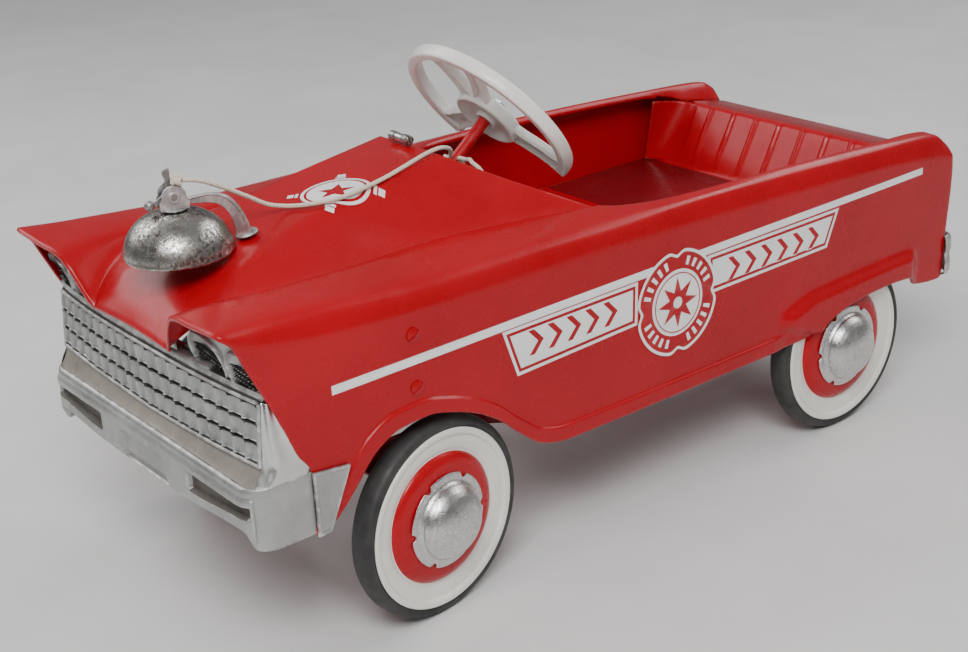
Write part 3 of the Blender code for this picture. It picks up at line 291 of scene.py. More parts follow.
def tyre_rubber():
    p = Paint("tyre_rubber", (0.025, 0.025, 0.026), 0.62)
    tone = p.ramp(p.noise(24, 6, 0.7), [(0.3, (0.012, 0.012, 0.013)), (0.72, (0.055, 0.052, 0.050))])
    dust = p.ramp(p.noise(60, 6, 0.75), [(0.58, 0.0), (0.85, 1.0)])
    tone = p.mix(p.math("MULTIPLY", dust, 0.25), tone, (0.20, 0.18, 0.16))
    rough = p.ramp(p.noise(70, 4), [(0.3, 0.50), (0.7, 0.75)])
    return p.use(tone, rough, p.noise(320, 4), 0.25, 0.0005)


def cord_cotton():
    p = Paint("cream_cotton", (0.72, 0.63, 0.45), 0.9)
    p.shader.inputs["Sheen Weight"].default_value = 0.4
    twist = p.node("ShaderNodeTexWave", {"Vector": p.coord, "Scale": 260.0, "Distortion": 1.2},
                   bands_direction="DIAGONAL").outputs["Fac"]
    tone = p.ramp(twist, [(0.1, (0.62, 0.54, 0.40)), (0.6, (0.84, 0.78, 0.64))])
    return p.use(tone, p.ramp(p.noise(300, 3), [(0.3, 0.8), (0.7, 0.98)]), twist, 0.6, 0.0008)


def concrete():
    p = Paint("pale_floor", (0.78, 0.775, 0.765), 0.75)
    tone = p.ramp(p.noise(3.0, 8, 0.65), [(0.3, (0.70, 0.695, 0.685)), (0.7, (0.80, 0.795, 0.785))])
    rough = p.ramp(p.noise(9, 5), [(0.3, 0.50), (0.7, 0.75)])
    return p.use(tone, rough, p.noise(120, 6, 0.7), 0.10, 0.001)


RED = enamel("red_paint", (0.47, 0.001, 0.009), (0.37, 0.0008, 0.006))
DARK_RED = enamel("dark_red_paint", (0.20, 0.008, 0.012), (0.11, 0.005, 0.008), 0.8)
# Darker copy of the red paint for the rear deck: painted shade.
DECK_RED = enamel("deck_red_shade", (0.34, 0.012, 0.018), (0.24, 0.008, 0.012), 0.4)
SILVER = silver_paint()
SHELF = tan_shelf()
# Darker copy for the bumper's slots: painted shade.
SLOT_SHADE = tan_shelf("slot_painted_shade", 0.45)
BRIGHT = pitted_chrome("burnished_silver", 0.35, 0.8, (0.66, 0.66, 0.65), 0.16)
PAINTED_SHADE = painted_shade_material()
CHROME = pitted_chrome("chrome_plate", 0.30, 0.8, (0.66, 0.65, 0.64), 0.03, 0.22)
BELL_CHROME = pitted_chrome("pitted_bell_chrome", 0.9, 0.8, (0.60, 0.58, 0.54), mottle=0.9)
STEEL = bare_steel()
WHITE = white_enamel("white_steering_enamel", (0.90, 0.88, 0.83))
WHITE_TYRE = white_enamel("white_sidewall", (0.88, 0.86, 0.79), 0.4)
DECAL = white_enamel("white_decal", (0.92, 0.91, 0.90), 0.3)
TYRE = tyre_rubber()
COTTON = cord_cotton()

SLOTS = {RED.name: "red_paint", DARK_RED.name: "dark_red_paint", DECK_RED.name: "red_paint",
         SILVER.name: "silver_paint", SHELF.name: "silver_paint", SLOT_SHADE.name: "silver_paint",
         BRIGHT.name: "silver_paint", PAINTED_SHADE.name: "silver_paint",
         CHROME.name: "chrome_plate", BELL_CHROME.name: "chrome_plate", STEEL.name: "bare_steel",
         WHITE.name: "white_plastic", WHITE_TYRE.name: "tyre_rubber", DECAL.name: "red_paint",
         TYRE.name: "tyre_rubber", COTTON.name: "cream_cotton"}


# ---------------------------------------------------------------- mesh helpers
def publish(name, mesh, mats, body, smooth=35, replaces=(), slot=None):
    """Put a mesh in the scene on its body, with its materials and the node it stands for.

    The slot, given or taken from the first material, is looked up but not kept.
    """
    mats = mats if isinstance(mats, (list, tuple)) else [mats]
    for mat in mats:
        mesh.materials.append(mat)
    if smooth:
        mesh.shade_smooth()
        mesh.set_sharp_from_angle(angle=math.radians(smooth))
    obj = bpy.data.objects.new(name, mesh)
    bpy.context.scene.collection.objects.link(obj)
    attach(obj, body)
    if replaces:
        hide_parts(*replaces)
    slot or SLOTS[mats[0].name]
    return obj


def thicken(obj, thickness, offset=0.0):
    """Give an open sheet its gauge; offset -1 puts it all behind the face."""
    step = obj.modifiers.new("sheet", "SOLIDIFY")
    step.thickness = thickness
    step.offset = offset
    return step


def grid(rows, columns, point, tint=None):
    """Points, faces and tints of a sheet from point(row, column); tint(row, column) picks a material."""
    verts = [point(row, column) for row in range(rows) for column in range(columns)]
    faces, tints = [], []
    for row in range(1, rows):
        for column in range(1, columns):
            a = (row - 1) * columns + column - 1
            faces.append((a, a + 1, a + 1 + columns, a + columns))
            tints.append(tint(row, column) if tint else 0)
    return verts, faces, tints


def wall(rings, count):
    """Faces between stacked closed rings of count points each."""
    faces = []
    for k in range(rings - 1):
        for n in range(count):
            m = (n + 1) % count
            faces.append((k * count + n, k * count + m, (k + 1) * count + m, (k + 1) * count + n))
    return faces


def end_faces(rings, count):
    return [tuple(range(count)), tuple(range((rings - 1) * count, rings * count))]


def star_points(cx, cz, tips, outer, inner, start):
    """Outline of a star, from its first tip round."""
    points = []
    for k in range(2 * tips):
        radius = outer if k % 2 == 0 else inner
        turn = start + TAU * k / (2 * tips)
        points.append((cx + radius * math.cos(turn), cz + radius * math.sin(turn)))
    return points


def mesh_of(name, verts, faces, tints=None):
    mesh = bpy.data.meshes.new(name)
    mesh.from_pydata([tuple(v) for v in verts], [], faces)
    if tints:
        for poly, tint in zip(mesh.polygons, tints):
            poly.material_index = tint
    work = bmesh.new()
    work.from_mesh(mesh)
    bmesh.ops.recalc_face_normals(work, faces=work.faces)
    work.to_mesh(mesh)
    work.free()
    return mesh


def bevelled(obj, width=0.0006, segments=2, angle=35):
    step = obj.modifiers.new("soft_edges", "BEVEL")
    step.width = width
    step.segments = segments
    step.limit_method = "ANGLE"
    step.angle_limit = math.radians(angle)
    step.harden_normals = True
    return obj


def axis_frame(axis):
    axis = Vector(axis).normalized()
    side = Vector((0, 0, 1)) if abs(axis.z) < 0.9 else Vector((1, 0, 0))
    first = axis.cross(side).normalized()
    return first, axis.cross(first).normalized(), axis


def turned(name, profile, mats, centre, axis, body, segments=64, replaces=(), tint=None, smooth=35,
           wave=None):
    """Turn a closed (radius, height) outline; wave(turn, radius, height) may shift a point."""
    first, second, axis = axis_frame(axis)
    centre = Vector(centre)
    verts, rings = [], []
    for radius, height in profile:
        if radius == 0:
            rings.append([len(verts)])
            verts.append(centre + axis * height)
            continue
        rings.append(list(range(len(verts), len(verts) + segments)))
        for k in range(segments):
            turn = TAU * k / segments
            r, h = wave(turn, radius, height) if wave else (radius, height)
            verts.append(centre + axis * h + (first * math.cos(turn) + second * math.sin(turn)) * r)
    pairs = list(zip(range(len(rings)), range(1, len(rings))))
    if profile[0][0] > 0:
        pairs.append((len(rings) - 1, 0))
    faces, tints = [], []
    for a, b in pairs:
        below, above = rings[a], rings[b]
        for k in range(segments):
            nxt = (k + 1) % segments
            if len(below) == 1:
                faces.append((below[0], above[k], above[nxt]))
            elif len(above) == 1:
                faces.append((below[k], above[0], below[nxt]))
            else:
                faces.append((below[k], above[k], above[nxt], below[nxt]))
            tints.append(tint[a] if tint else 0)
    return publish(name, mesh_of(name, verts, faces, tints), mats, body, smooth, replaces)


def rounded(profile, radius, steps=3, closed=True):
    """Round the corners of an outline of (radius, height) pairs."""
    out = []
    count = len(profile)
    for k, (r, h) in enumerate(profile):
        here = Vector((r, h))
        if not closed and k in (0, count - 1):
            out.append((r, h))
            continue
        before = Vector(profile[k - 1]) - here
        after = Vector(profile[(k + 1) % count]) - here
        reach = min(radius, before.length * 0.45, after.length * 0.45)
        if reach < 1e-6 or (r == 0):
            out.append((r, h))
            continue
        start = here + before.normalized() * reach
        end = here + after.normalized() * reach
        for n in range(steps + 1):
            t = n / steps
            point = start.lerp(here, t).lerp(here.lerp(end, t), t)
            out.append((max(point.x, 0.0), point.y))
    return out


def hermite(knots):
    """A smooth reader of (y, value, value...) knots that keeps their ups and downs."""
    ys = [k[0] for k in knots]
    sets = list(zip(*[k[1:] for k in knots]))
    slopes = []
    for values in sets:
        runs = [(b - a) / (d - c) for a, b, c, d in zip(values, values[1:], ys, ys[1:])]
        made = [runs[0]]
        for left, right in zip(runs, runs[1:]):
            made.append(0.0 if left * right <= 0 else 2 * left * right / (left + right))
        made.append(runs[-1])
        slopes.append(made)

    def read(y):
        y = min(max(y, ys[0]), ys[-1])
        k = 0
        while k < len(ys) - 2 and ys[k + 1] < y:
            k += 1
        span = ys[k + 1] - ys[k]
        t = (y - ys[k]) / span
        out = []
        for values, slope in zip(sets, slopes):
            a, b = values[k], values[k + 1]
            out.append(a * (1 + 2 * t) * (1 - t) ** 2 + b * t * t * (3 - 2 * t)
                       + slope[k] * span * t * (1 - t) ** 2 - slope[k + 1] * span * t * t * (1 - t))
        return out
    return read


def spline_points(points, counts):
    """Smooth points through a short list; counts gives the steps of each stretch."""
    out = []
    last = len(points) - 1
    for k in range(last):
        p0, p1, p2, p3 = points[max(k - 1, 0)], points[k], points[k + 1], points[min(k + 2, last)]
        for n in range(counts[k]):
            t = n / counts[k]
            out.append(0.5 * (2 * p1 + (p2 - p0) * t + (2 * p0 - 5 * p1 + 4 * p2 - p3) * t * t
                              + (3 * p1 - p0 - 3 * p2 + p3) * t ** 3))
    out.append(points[-1])
    return out


def smooth_step(value, start, end):
    share = min(max((value - start) / (end - start), 0.0), 1.0)
    return share * share * (3 - 2 * share)


LIP_TURNS = (35, 80, 125, 165)


def roll_edges(work, radius, keep):
    """Give the open edges that keep() picks a rolled lip that turns in and under."""
    work.normal_update()
    border = [e for e in work.edges if e.is_boundary and keep(e)]
    around = {}
    for edge in border:
        face = edge.link_faces[0]
        run = (edge.verts[1].co - edge.verts[0].co).normalized()
        out = run.cross(face.normal)
        if out.dot(edge.verts[0].co - face.calc_center_median()) < 0:
            out.negate()
        for vert in edge.verts:
            entry = around.setdefault(vert, [Vector(), Vector()])
            entry[0] += out
            entry[1] += face.normal
    made = bmesh.ops.extrude_edge_only(work, edges=border)
    for n, turn in enumerate(LIP_TURNS):
        if n:
            made = bmesh.ops.extrude_edge_only(work, edges=ring)
        ring = [e for e in made["geom"] if isinstance(e, bmesh.types.BMEdge) and e.is_boundary]
        fresh = {v for v in made["geom"] if isinstance(v, bmesh.types.BMVert)}
        angle = math.radians(turn)
        previous = math.radians(LIP_TURNS[n - 1]) if n else 0.0
        moved = {}
        for vert in fresh:
            for edge in vert.link_edges:
                other = edge.other_vert(vert)
                if other in around and other not in fresh:
                    moved[vert] = around[other]
        for vert, (out, normal) in moved.items():
            out, normal = out.normalized(), normal.normalized()
            step = out * (math.sin(angle) - math.sin(previous))
            step -= normal * (math.cos(previous) - math.cos(angle))
            vert.co += step * radius
        around = moved
    return work


# ---------------------------------------------------------------- body skin
HOOD_CENTRE = hermite([(-0.186, 0.0, 0.287), (-0.175, 0.0, 0.2990), (-0.155, 0.0, 0.3135),
                       (-0.130, 0.0, 0.3255), (-0.100, 0.0, 0.338), (-0.060, 0.0, 0.347),
                       (-0.020, 0.0, 0.3555), (0.120, 0.0, 0.3765)])
HOOD_CREASE = hermite([(-0.187, 0.050, 0.286), (-0.175, 0.052, 0.2978), (-0.155, 0.056, 0.3120),
                       (-0.130, 0.060, 0.3245), (-0.100, 0.061, 0.3374), (-0.060, 0.054, 0.3464),
                       (-0.020, 0.048, 0.3551), (0.120, 0.048, 0.3755)])
HOOD_SLOPE = hermite([(-0.187, 0.063, 0.285), (-0.175, 0.070, 0.2965), (-0.150, 0.078, 0.3122),
                      (-0.100, 0.085, 0.3295), (-0.040, 0.080, 0.3370), (0.030, 0.078, 0.3370),
                      (0.100, 0.085, 0.3405), (0.165, 0.092, 0.3500)])
VALLEY = hermite([(-0.187, 0.070, 0.288), (-0.175, 0.081, 0.3000), (-0.150, 0.095, 0.314),
                  (-0.120, 0.104, 0.3205), (-0.080, 0.108, 0.3230), (0.000, 0.103, 0.3215),
                  (0.056, 0.101, 0.3208), (0.136, 0.113, 0.3215), (0.222, 0.135, 0.3210),
                  (0.250, 0.148, 0.3165), (0.290, 0.1575, 0.3135), (0.340, 0.162, 0.3115),
                  (0.450, 0.1635, 0.3075), (0.580, 0.163, 0.3005), (0.620, 0.1585, 0.2925),
                  (0.645, 0.1515, 0.2835), (0.700, 0.1490, 0.2740)])
RIM_TOP = hermite([(-0.195, 0.097, 0.324), (-0.175, 0.103, 0.327), (-0.150, 0.109, 0.3285),
                   (-0.100, 0.117, 0.3285), (-0.040, 0.119, 0.3275), (0.056, 0.116, 0.3255),
                   (0.136, 0.125, 0.3235), (0.225, 0.142, 0.3215), (0.250, 0.152, 0.3190),
                   (0.290, 0.161, 0.3165), (0.340, 0.1655, 0.3148), (0.450, 0.167, 0.3110),
                   (0.580, 0.1665, 0.3040), (0.640, 0.162, 0.3000), (0.684, 0.160, 0.2950),
                   (0.700, 0.1595, 0.2860)])
FENDER_TOP = hermite([(-0.199, 0.140, 0.331), (-0.150, 0.143, 0.332), (-0.070, 0.146, 0.3275),
                      (0.030, 0.146, 0.3235), (0.130, 0.148, 0.3222), (0.225, 0.158, 0.3195),
                      (0.290, 0.169, 0.3155), (0.340, 0.1715, 0.3140), (0.450, 0.1725, 0.3105),
                      (0.580, 0.172, 0.3040), (0.660, 0.170, 0.2990), (0.688, 0.1695, 0.2955),
                      (0.704, 0.169, 0.2870)])
SHOULDER = hermite([(-0.199, 0.180, 0.3335), (-0.160, 0.1765, 0.330), (-0.100, 0.175, 0.325),
                    (0.000, 0.175, 0.3175), (0.130, 0.176, 0.3155), (0.225, 0.178, 0.3125),
                    (0.340, 0.179, 0.3100), (0.450, 0.1795, 0.3055), (0.580, 0.1795, 0.2990),
                    (0.660, 0.179, 0.2950), (0.694, 0.1785, 0.2905), (0.711, 0.178, 0.2790)])
SIDE_TOP = hermite([(-0.188, 0.186, 0.322), (-0.150, 0.1845, 0.312), (-0.100, 0.184, 0.305),
                    (0.000, 0.184, 0.300), (0.130, 0.184, 0.298), (0.340, 0.185, 0.293),
                    (0.580, 0.186, 0.283), (0.713, 0.185, 0.268)])
SILL = hermite([(-0.131, 0.1348), (-0.119, 0.1370), (-0.108, 0.1450), (-0.090, 0.166), (-0.068, 0.190),
                (-0.041, 0.2025), (-0.010, 0.2045), (0.018, 0.198), (0.045, 0.187), (0.067, 0.173),
                (0.089, 0.153), (0.118, 0.132), (0.148, 0.126), (0.300, 0.1245), (0.469, 0.124),
                (0.490, 0.1245), (0.502, 0.134), (0.516, 0.1405), (0.564, 0.149), (0.606, 0.1505),
                (0.640, 0.1485),
                (0.6475, 0.146), (0.660, 0.134), (0.702, 0.129), (0.706, 0.130)])
SIDE_FRONT = hermite([(0.128, -0.131), (0.160, -0.1295), (0.190, -0.1285), (0.2115, -0.1402),
                      (0.2374, -0.1503), (0.2523, -0.1560), (0.279, -0.1685), (0.322, -0.188)])
SIDE_REAR = hermite([(0.130, 0.704), (0.175, 0.7075), (0.251, 0.714), (0.268, 0.713)])
UPPER = [HOOD_CENTRE, HOOD_CREASE, HOOD_SLOPE, VALLEY, RIM_TOP, FENDER_TOP, SHOULDER, SIDE_TOP]
UPPER_FIRST = [-0.186, -0.187, -0.187, -0.187, -0.195, -0.199, -0.199, -0.188]
UPPER_LAST = [0.120, 0.120, 0.165, 0.700, 0.700, 0.704, 0.711, 0.713]
DASH_Y = [0.120, 0.120, 0.165, 0.222, 0.225, 0.225, 0.225, 0.225]
FRONT_SILL, DASH_SILL, REAR_SILL = -0.131, 0.225, 0.706
STRETCHES = [6, 3, 3, 4, 4, 5, 4]
EDGE_BANDS = [0.0, 0.0016, 0.0045, 0.0110, 0.0124, 0.0132, 0.0140, 0.0148, 0.0165]
FIRST_REAR = sum(STRETCHES[:3])
FRONT_ROWS, REAR_ROWS = 104, 128
SIDE_STEPS = 30
FLARE_OUT, ARCH_OUT = 0.0080, 0.0024     # how far the rear flare and the arch border stand out
FLARE_FRONT = hermite([(0.1227, 0.4905), (0.1365, 0.4526), (0.1469, 0.4362), (0.1574, 0.4300)])
FLARE_TOP = hermite([(0.430, 0.1574), (0.4616, 0.1668), (0.4892, 0.1733), (0.636, 0.1766), (0.700, 0.1766)])


def skirt_bulge(y, z):
    """How far the flare over the rear wheel stands out, below its crease and behind its front edge."""
    if y < 0.425:
        return 0.0
    behind = smooth_step(y - FLARE_FRONT(z)[0], 0.0, 0.020)
    below = smooth_step(FLARE_TOP(y)[0] - z, -0.0015, 0.011)
    return FLARE_OUT * behind * below * (1 - smooth_step(y, 0.640, 0.662))


def row_profile(row):
    """The half section of one row, from the middle (or the cockpit's rim) down to the sill."""
    if row <= FRONT_ROWS:
        share = row / FRONT_ROWS
        sill_y = FRONT_SILL + (DASH_SILL - FRONT_SILL) * share
        ys = [a + (b - a) * share for a, b in zip(UPPER_FIRST, DASH_Y)]
    else:
        share = (row - FRONT_ROWS) / REAR_ROWS
        sill_y = DASH_SILL + (REAR_SILL - DASH_SILL) * share
        ys = [a + (b - a) * share for a, b in zip(DASH_Y, UPPER_LAST)]
    points = []
    for line, y in zip(UPPER, ys):
        x, z = line(y)
        points.append(Vector((x, y, z)))
    if row > FRONT_ROWS:
        head = points[:1] * FIRST_REAR
        rest = spline_points(points[3:], STRETCHES[3:])
    else:
        head = spline_points(points[:2], STRETCHES[:1])[:-1]
        rest = spline_points(points[1:], STRETCHES[1:])
    profile = head + rest
    top = profile[-1]
    sill_z = SILL(sill_y)[0]
    front_pull = max(0.0, 1 - (sill_y - FRONT_SILL) / 0.05) ** 2
    rear_pull = max(0.0, 1 - (REAR_SILL - sill_y) / 0.05) ** 2
    levels = []
    flat_low = sill_z + EDGE_BANDS[-1]
    for n in range(1, SIDE_STEPS + 1):
        levels.append(top.z + (flat_low - top.z) * n / SIDE_STEPS)
    levels += [sill_z + band for band in reversed(EDGE_BANDS[:-1])]
    for z in levels:
        s = (z - top.z) / (sill_z - top.z)
        y = top.y + (sill_y - top.y) * s
        y += front_pull * (SIDE_FRONT(z)[0] - (UPPER_FIRST[-1] + (FRONT_SILL - UPPER_FIRST[-1]) * s))
        y += rear_pull * (SIDE_REAR(z)[0] - (UPPER_LAST[-1] + (REAR_SILL - UPPER_LAST[-1]) * s))
        x = top.x + (SIDE_HALF + skirt_bulge(y, z) - top.x) * smooth_step(s, 0.0, 0.5)
        step = 1 - smooth_step(z - sill_z, 0.0122, 0.0150)
        inside = smooth_step(sill_y, -0.110, -0.085) * (1 - smooth_step(sill_y, 0.425, 0.450))
        x += ARCH_OUT * step * inside
        profile.append(Vector((x, y, z)))
    return profile


def by_deck(point):
    """True on the inner edge of a fin, where it runs down on to the rear deck."""
    return point.y - FRONT_Y > 0.600 and abs(point.x) < 0.1645 and point.z > 0.270


def in_fixed_order(work):
    """Points and faces sorted by place, because an extrusion's own order changes from run to run."""
    verts = sorted(work.verts, key=lambda vert: vert.co[:])
    index = {vert: n for n, vert in enumerate(verts)}
    rings = sorted(tuple(index[vert] for vert in face.verts) for face in work.faces)
    return [vert.co[:] for vert in verts], rings


def body_mesh():
    """One open skin over both halves, with rolled edges."""
    index, verts, faces = {}, [], []
    rows = FRONT_ROWS + REAR_ROWS + 1
    profiles = [row_profile(row) for row in range(rows)]
    columns = len(profiles[0])
    for side in (1, -1):
        for row in range(rows):
            for column in range(columns):
                if row > FRONT_ROWS and column < FIRST_REAR:
                    continue
                if side < 0 and column == 0:
                    index[side, column, row] = index[1, column, row]
                    continue
                point = profiles[row][column]
                index[side, column, row] = len(verts)
                verts.append(at_rel(point.x * side, point.y, point.z))
        for row in range(rows - 1):
            start = 0 if row < FRONT_ROWS else FIRST_REAR
            for column in range(start, columns - 1):
                quad = [index[side, column, row], index[side, column + 1, row],
                        index[side, column + 1, row + 1], index[side, column, row + 1]]
                faces.append(tuple(quad if side > 0 else reversed(quad)))
    mesh = bpy.data.meshes.new("body_skin")
    mesh.from_pydata([tuple(v) for v in verts], [], faces)
    work = bmesh.new()
    work.from_mesh(mesh)
    bmesh.ops.recalc_face_normals(work, faces=work.faces)
    up = sum(f.normal.z * f.calc_area() for f in work.faces)
    if up < 0:
        bmesh.ops.reverse_faces(work, faces=work.faces)
    roll_edges(work, 0.0026, lambda edge: not all(by_deck(vert.co) for vert in edge.verts))
    points, rings = in_fixed_order(work)
    work.free()
    mesh.clear_geometry()
    mesh.from_pydata(points, [], rings)
    return mesh


def add_body():
    obj = publish("body_skin", body_mesh(), RED, "chassis", 40, ["body_shell"])
    thicken(obj, 0.0011, -1.0)
    return obj


def side_x(y, z):
    """Outer face of the body side at a point, for what is painted on it."""
    top_x, top_z = SIDE_TOP(y)
    sill_z = SILL(min(max(y, FRONT_SILL), REAR_SILL))[0]
    s = (z - top_z) / (sill_z - top_z)
    return top_x + (SIDE_HALF + skirt_bulge(y, z) - top_x) * smooth_step(s, 0.0, 0.5)


# ---------------------------------------------------------------- painted marks on the sides
def densify(outline, step=0.006):
    """Add points along a closed outline, no more than a step apart."""
    out = []
    for a, b in zip(outline, outline[1:] + outline[:1]):
        a, b = Vector(a), Vector(b)
        count = max(1, math.ceil((b - a).length / step))
        out += [a.lerp(b, n / count) for n in range(count)]
    return out


def decal(name, outlines, place, mat=DECAL, lift=0.0, grain=0.012):
    """A thin skin from an outer outline and holes; place(point, lift) puts it on the surface."""
    curve = bpy.data.curves.new(name, "CURVE")
    curve.dimensions = "2D"
    curve.fill_mode = "BOTH"
    for outline in outlines:
        points = densify([tuple(p) for p in outline])
        spline = curve.splines.new("POLY")
        spline.points.add(len(points) - 1)
        for slot, point in zip(spline.points, points):
            slot.co = (point[0], point[1], 0, 1)
        spline.use_cyclic_u = True
    helper = bpy.data.objects.new(name + "_outline", curve)
    bpy.context.scene.collection.objects.link(helper)
    graph = bpy.context.evaluated_depsgraph_get()
    mesh = bpy.data.meshes.new_from_object(helper.evaluated_get(graph))
    bpy.data.objects.remove(helper, do_unlink=True)
    bpy.data.curves.remove(curve)
    work = bmesh.new()
    work.from_mesh(mesh)
    bmesh.ops.triangulate(work, faces=work.faces)
    for _ in range(2 if grain > 0.010 else 5):
        long_edges = [e for e in work.edges if e.calc_length() > grain]
        bmesh.ops.subdivide_edges(work, edges=long_edges, cuts=1)
        bmesh.ops.triangulate(work, faces=work.faces)
    for vert in work.verts:
        vert.co = place(vert.co.x, vert.co.y, lift)
    work.to_mesh(mesh)
    work.free()
    mesh.validate()
    mesh.materials.clear()
    obj = publish(name, mesh, mat, "chassis", 0)
    step = obj.modifiers.new("film", "SOLIDIFY")
    step.thickness = 0.00025
    step.offset = 0.0
    return obj


def ring_points(cx, cz, radius, count=64, wave=None):
    points = []
    for k in range(count):
        turn = TAU * k / count
        r = wave(turn) if wave else radius
        points.append((cx + r * math.cos(turn), cz + r * math.sin(turn)))
    return points


def inset(outline, amount):
    """Move every edge of a convex outline inwards."""
    area = sum(a[0] * b[1] - b[0] * a[1] for a, b in zip(outline, outline[1:] + outline[:1]))
    sign = 1 if area > 0 else -1
    count = len(outline)
    lines = []
    for k in range(count):
        a, b = Vector(outline[k]), Vector(outline[(k + 1) % count])
        run = (b - a).normalized()
        normal = Vector((-run.y, run.x)) * sign
        lines.append((a + normal * amount, run))
    out = []
    for k in range(count):
        (p, d), (q, e) = lines[k - 1], lines[k]
        cross = d.x * e.y - d.y * e.x
        t = ((q.x - p.x) * e.y - (q.y - p.y) * e.x) / cross
        out.append(tuple(p + d * t))
    return out


STRIPE = [(-0.105, 0.2525), (0.660, 0.2590), (0.660, 0.2665), (-0.105, 0.2605)]
PANELS = {"front": (5, [(0.074, 0.2528), (0.089, 0.2065), (0.236, 0.2115), (0.238, 0.2542)]),
          "rear": (6, [(0.333, 0.2150), (0.506, 0.2165), (0.523, 0.2556), (0.331, 0.2548)])}
CHEVRON = [(-0.0035, 0.2215), (0.0075, 0.2335), (-0.0035, 0.2455), (-0.0105, 0.2455), (0.0005, 0.2335),
           (-0.0105, 0.2215)]
BADGE = (0.289, 0.219)
BAR = ((0.0375, 0.0017), (0.0375, -0.0017), (0.0462, -0.0021), (0.0462, 0.0021))


def scalloped(radius):
    """Reader of a circle's radius with four shallow notches."""
    return lambda turn: radius - 0.0050 * max(0.0, math.cos(4 * turn)) ** 8


def side_marks(side, word):
    """Stripe, two panels of chevrons and the round badge on one side."""
    def place(y, z, lift):
        return at_rel(side * (side_x(y, z) + 0.0004 + lift), y, z)

    decal(f"side_stripe_{word}", [STRIPE], place)
    for where, (count, outline) in PANELS.items():
        decal(f"side_panel_{where}_{word}", [outline, inset(outline, 0.0030)], place)
        inner = inset(outline, 0.0062)
        ys = [p[0] for p in inner]
        start, end = min(ys) + 0.020, max(ys) - 0.016
        bars = []
        for k in range(count):
            middle = start + (end - start) * (k + 0.5) / count
            bars.append([(middle + y, z) for y, z in CHEVRON])
        decal(f"side_field_{where}_{word}", [inner] + bars, place)
    cy, cz = BADGE
    inner_edge = ring_points(cy, cz, 0, 128, scalloped(0.0505))
    decal(f"medallion_ground_{word}", [inner_edge], place, RED, 0.0002)
    decal(f"medallion_ring_{word}", [ring_points(cy, cz, 0, 128, scalloped(0.0535)), inner_edge], place,
          lift=0.0005)
    decal(f"medallion_disc_{word}", [ring_points(cy, cz, 0.0335, 96)], place, lift=0.0005)
    decal(f"medallion_line_{word}", [ring_points(cy, cz, 0.0302), ring_points(cy, cz, 0.0292)], place, RED,
          0.0009)
    for group in range(4):
        for k in range(5):
            turn = TAU * group / 4 + math.radians(45 + 12.5 * (k - 2))
            c, s = math.cos(turn), math.sin(turn)
            corners = [(cy + radius * c - half * s, cz + radius * s + half * c) for radius, half in BAR]
            decal(f"medallion_bar_{word}_{group}_{k}", [corners], place, lift=0.0005)
    star = star_points(cy, cz, 8, 0.0255, 0.0115, math.pi / 2)
    decal(f"medallion_star_{word}", [star, ring_points(cy, cz, 0.0060, 32)], place, RED, 0.0009)


ROUNDEL = (0.0265, 0.0170)
ROUNDEL_LEAN = math.radians(46)
TABS = ((0.0370, 0.0400, 0.0052), (0.0415, 0.0475, 0.0042))     # near and far radius, half width


def hood_roundel(skin):
    """Oval mark painted across the crease of the hood, with pairs of tabs outside it."""
    tree = BVHTree.FromPolygons([v.co for v in skin.data.vertices], [p.vertices for p in skin.data.polygons])
    cx, cy = ROUNDEL
    short = Vector((math.cos(ROUNDEL_LEAN + math.pi / 2), math.sin(ROUNDEL_LEAN + math.pi / 2)))

    def place(x, y, lift):
        out = Vector((x - cx, y - cy)) * 0.94
        out -= short * (out.dot(short) * 0.20)
        start = at_rel(cx + out.x, cy + out.y, 0.60)
        hit = tree.ray_cast(start, Vector((0, 0, -1)))[0]
        return hit + Vector((0, 0, 0.0005 + lift))

    decal("hood_roundel_ring", [ring_points(cx, cy, 0.0345, 96), ring_points(cx, cy, 0.0312, 96)], place,
          grain=0.003)
    star = star_points(cx, cy, 5, 0.0200, 0.0085, math.radians(135))
    decal("hood_roundel_disc", [ring_points(cx, cy, 0.0285, 96), star], place, grain=0.003)
    for k in range(4):
        turn = ROUNDEL_LEAN + TAU * k / 4
        c, s = math.cos(turn), math.sin(turn)
        for j, (near, far, half) in enumerate(TABS):
            corners = [(cx + r * c - h * s, cy + r * s + h * c)
                       for r, h in ((near, half), (near, -half), (far, -half), (far, half))]
            decal(f"hood_tab_{k}_{j}", [corners], place, grain=0.004)


# ---------------------------------------------------------------- silver front
FRONT_FACE = -0.190
FRONT_HALF = 0.1848
BUMPER_CORNER = 0.0235
FRONT_END = -0.1305


def plan_point(share, back, corner, end):
    """Point and outward direction along half of the front's plan; share 0 in the middle, 1 at the end."""
    half, face = FRONT_HALF - back * 0.15, FRONT_FACE + back
    straight = half - corner
    arc = corner * math.pi / 2
    tail = max(end - (face + corner), 0.001)
    total = straight + arc + tail
    run = share * total
    if run <= straight:
        return Vector((run, face)), Vector((0, -1))
    if run <= straight + arc:
        turn = (run - straight) / corner
        middle = Vector((straight, face + corner))
        out = Vector((math.sin(turn), -math.cos(turn)))
        return middle + out * corner, out
    return Vector((half, face + corner + run - straight - arc)), Vector((1, 0))


def front_sheet(name, levels, mats, across, replaces):
    """The wrap-round bumper face from its section; levels are (z, set back, corner, end)."""
    def point(row, column):
        z, back, corner, end = levels[row]
        side = -1 if column < across else 1
        place, out = plan_point(abs(column - across) / across, back, corner, end)
        height = bumper_height(place.x, z)
        lean = place + out * bumper_detail(place.x, z, out)
        return at_rel(lean.x * side, lean.y, height)

    def tint(row, column):
        z, back, corner, end = levels[row]
        place, _ = plan_point(abs(column - across) / across, back, corner, end)
        return bumper_tint(place.x, z)

    verts, faces, tints = grid(len(levels), 2 * across + 1, point, tint)
    obj = publish(name, mesh_of(name, verts, faces, tints), mats, "chassis", 50, replaces)
    thicken(obj, 0.0012, -1.0)
    face_forward(obj)
    return obj


def face_forward(obj):
    if sum(p.normal.y * p.area for p in obj.data.polygons) > 0:
        obj.data.flip_normals()


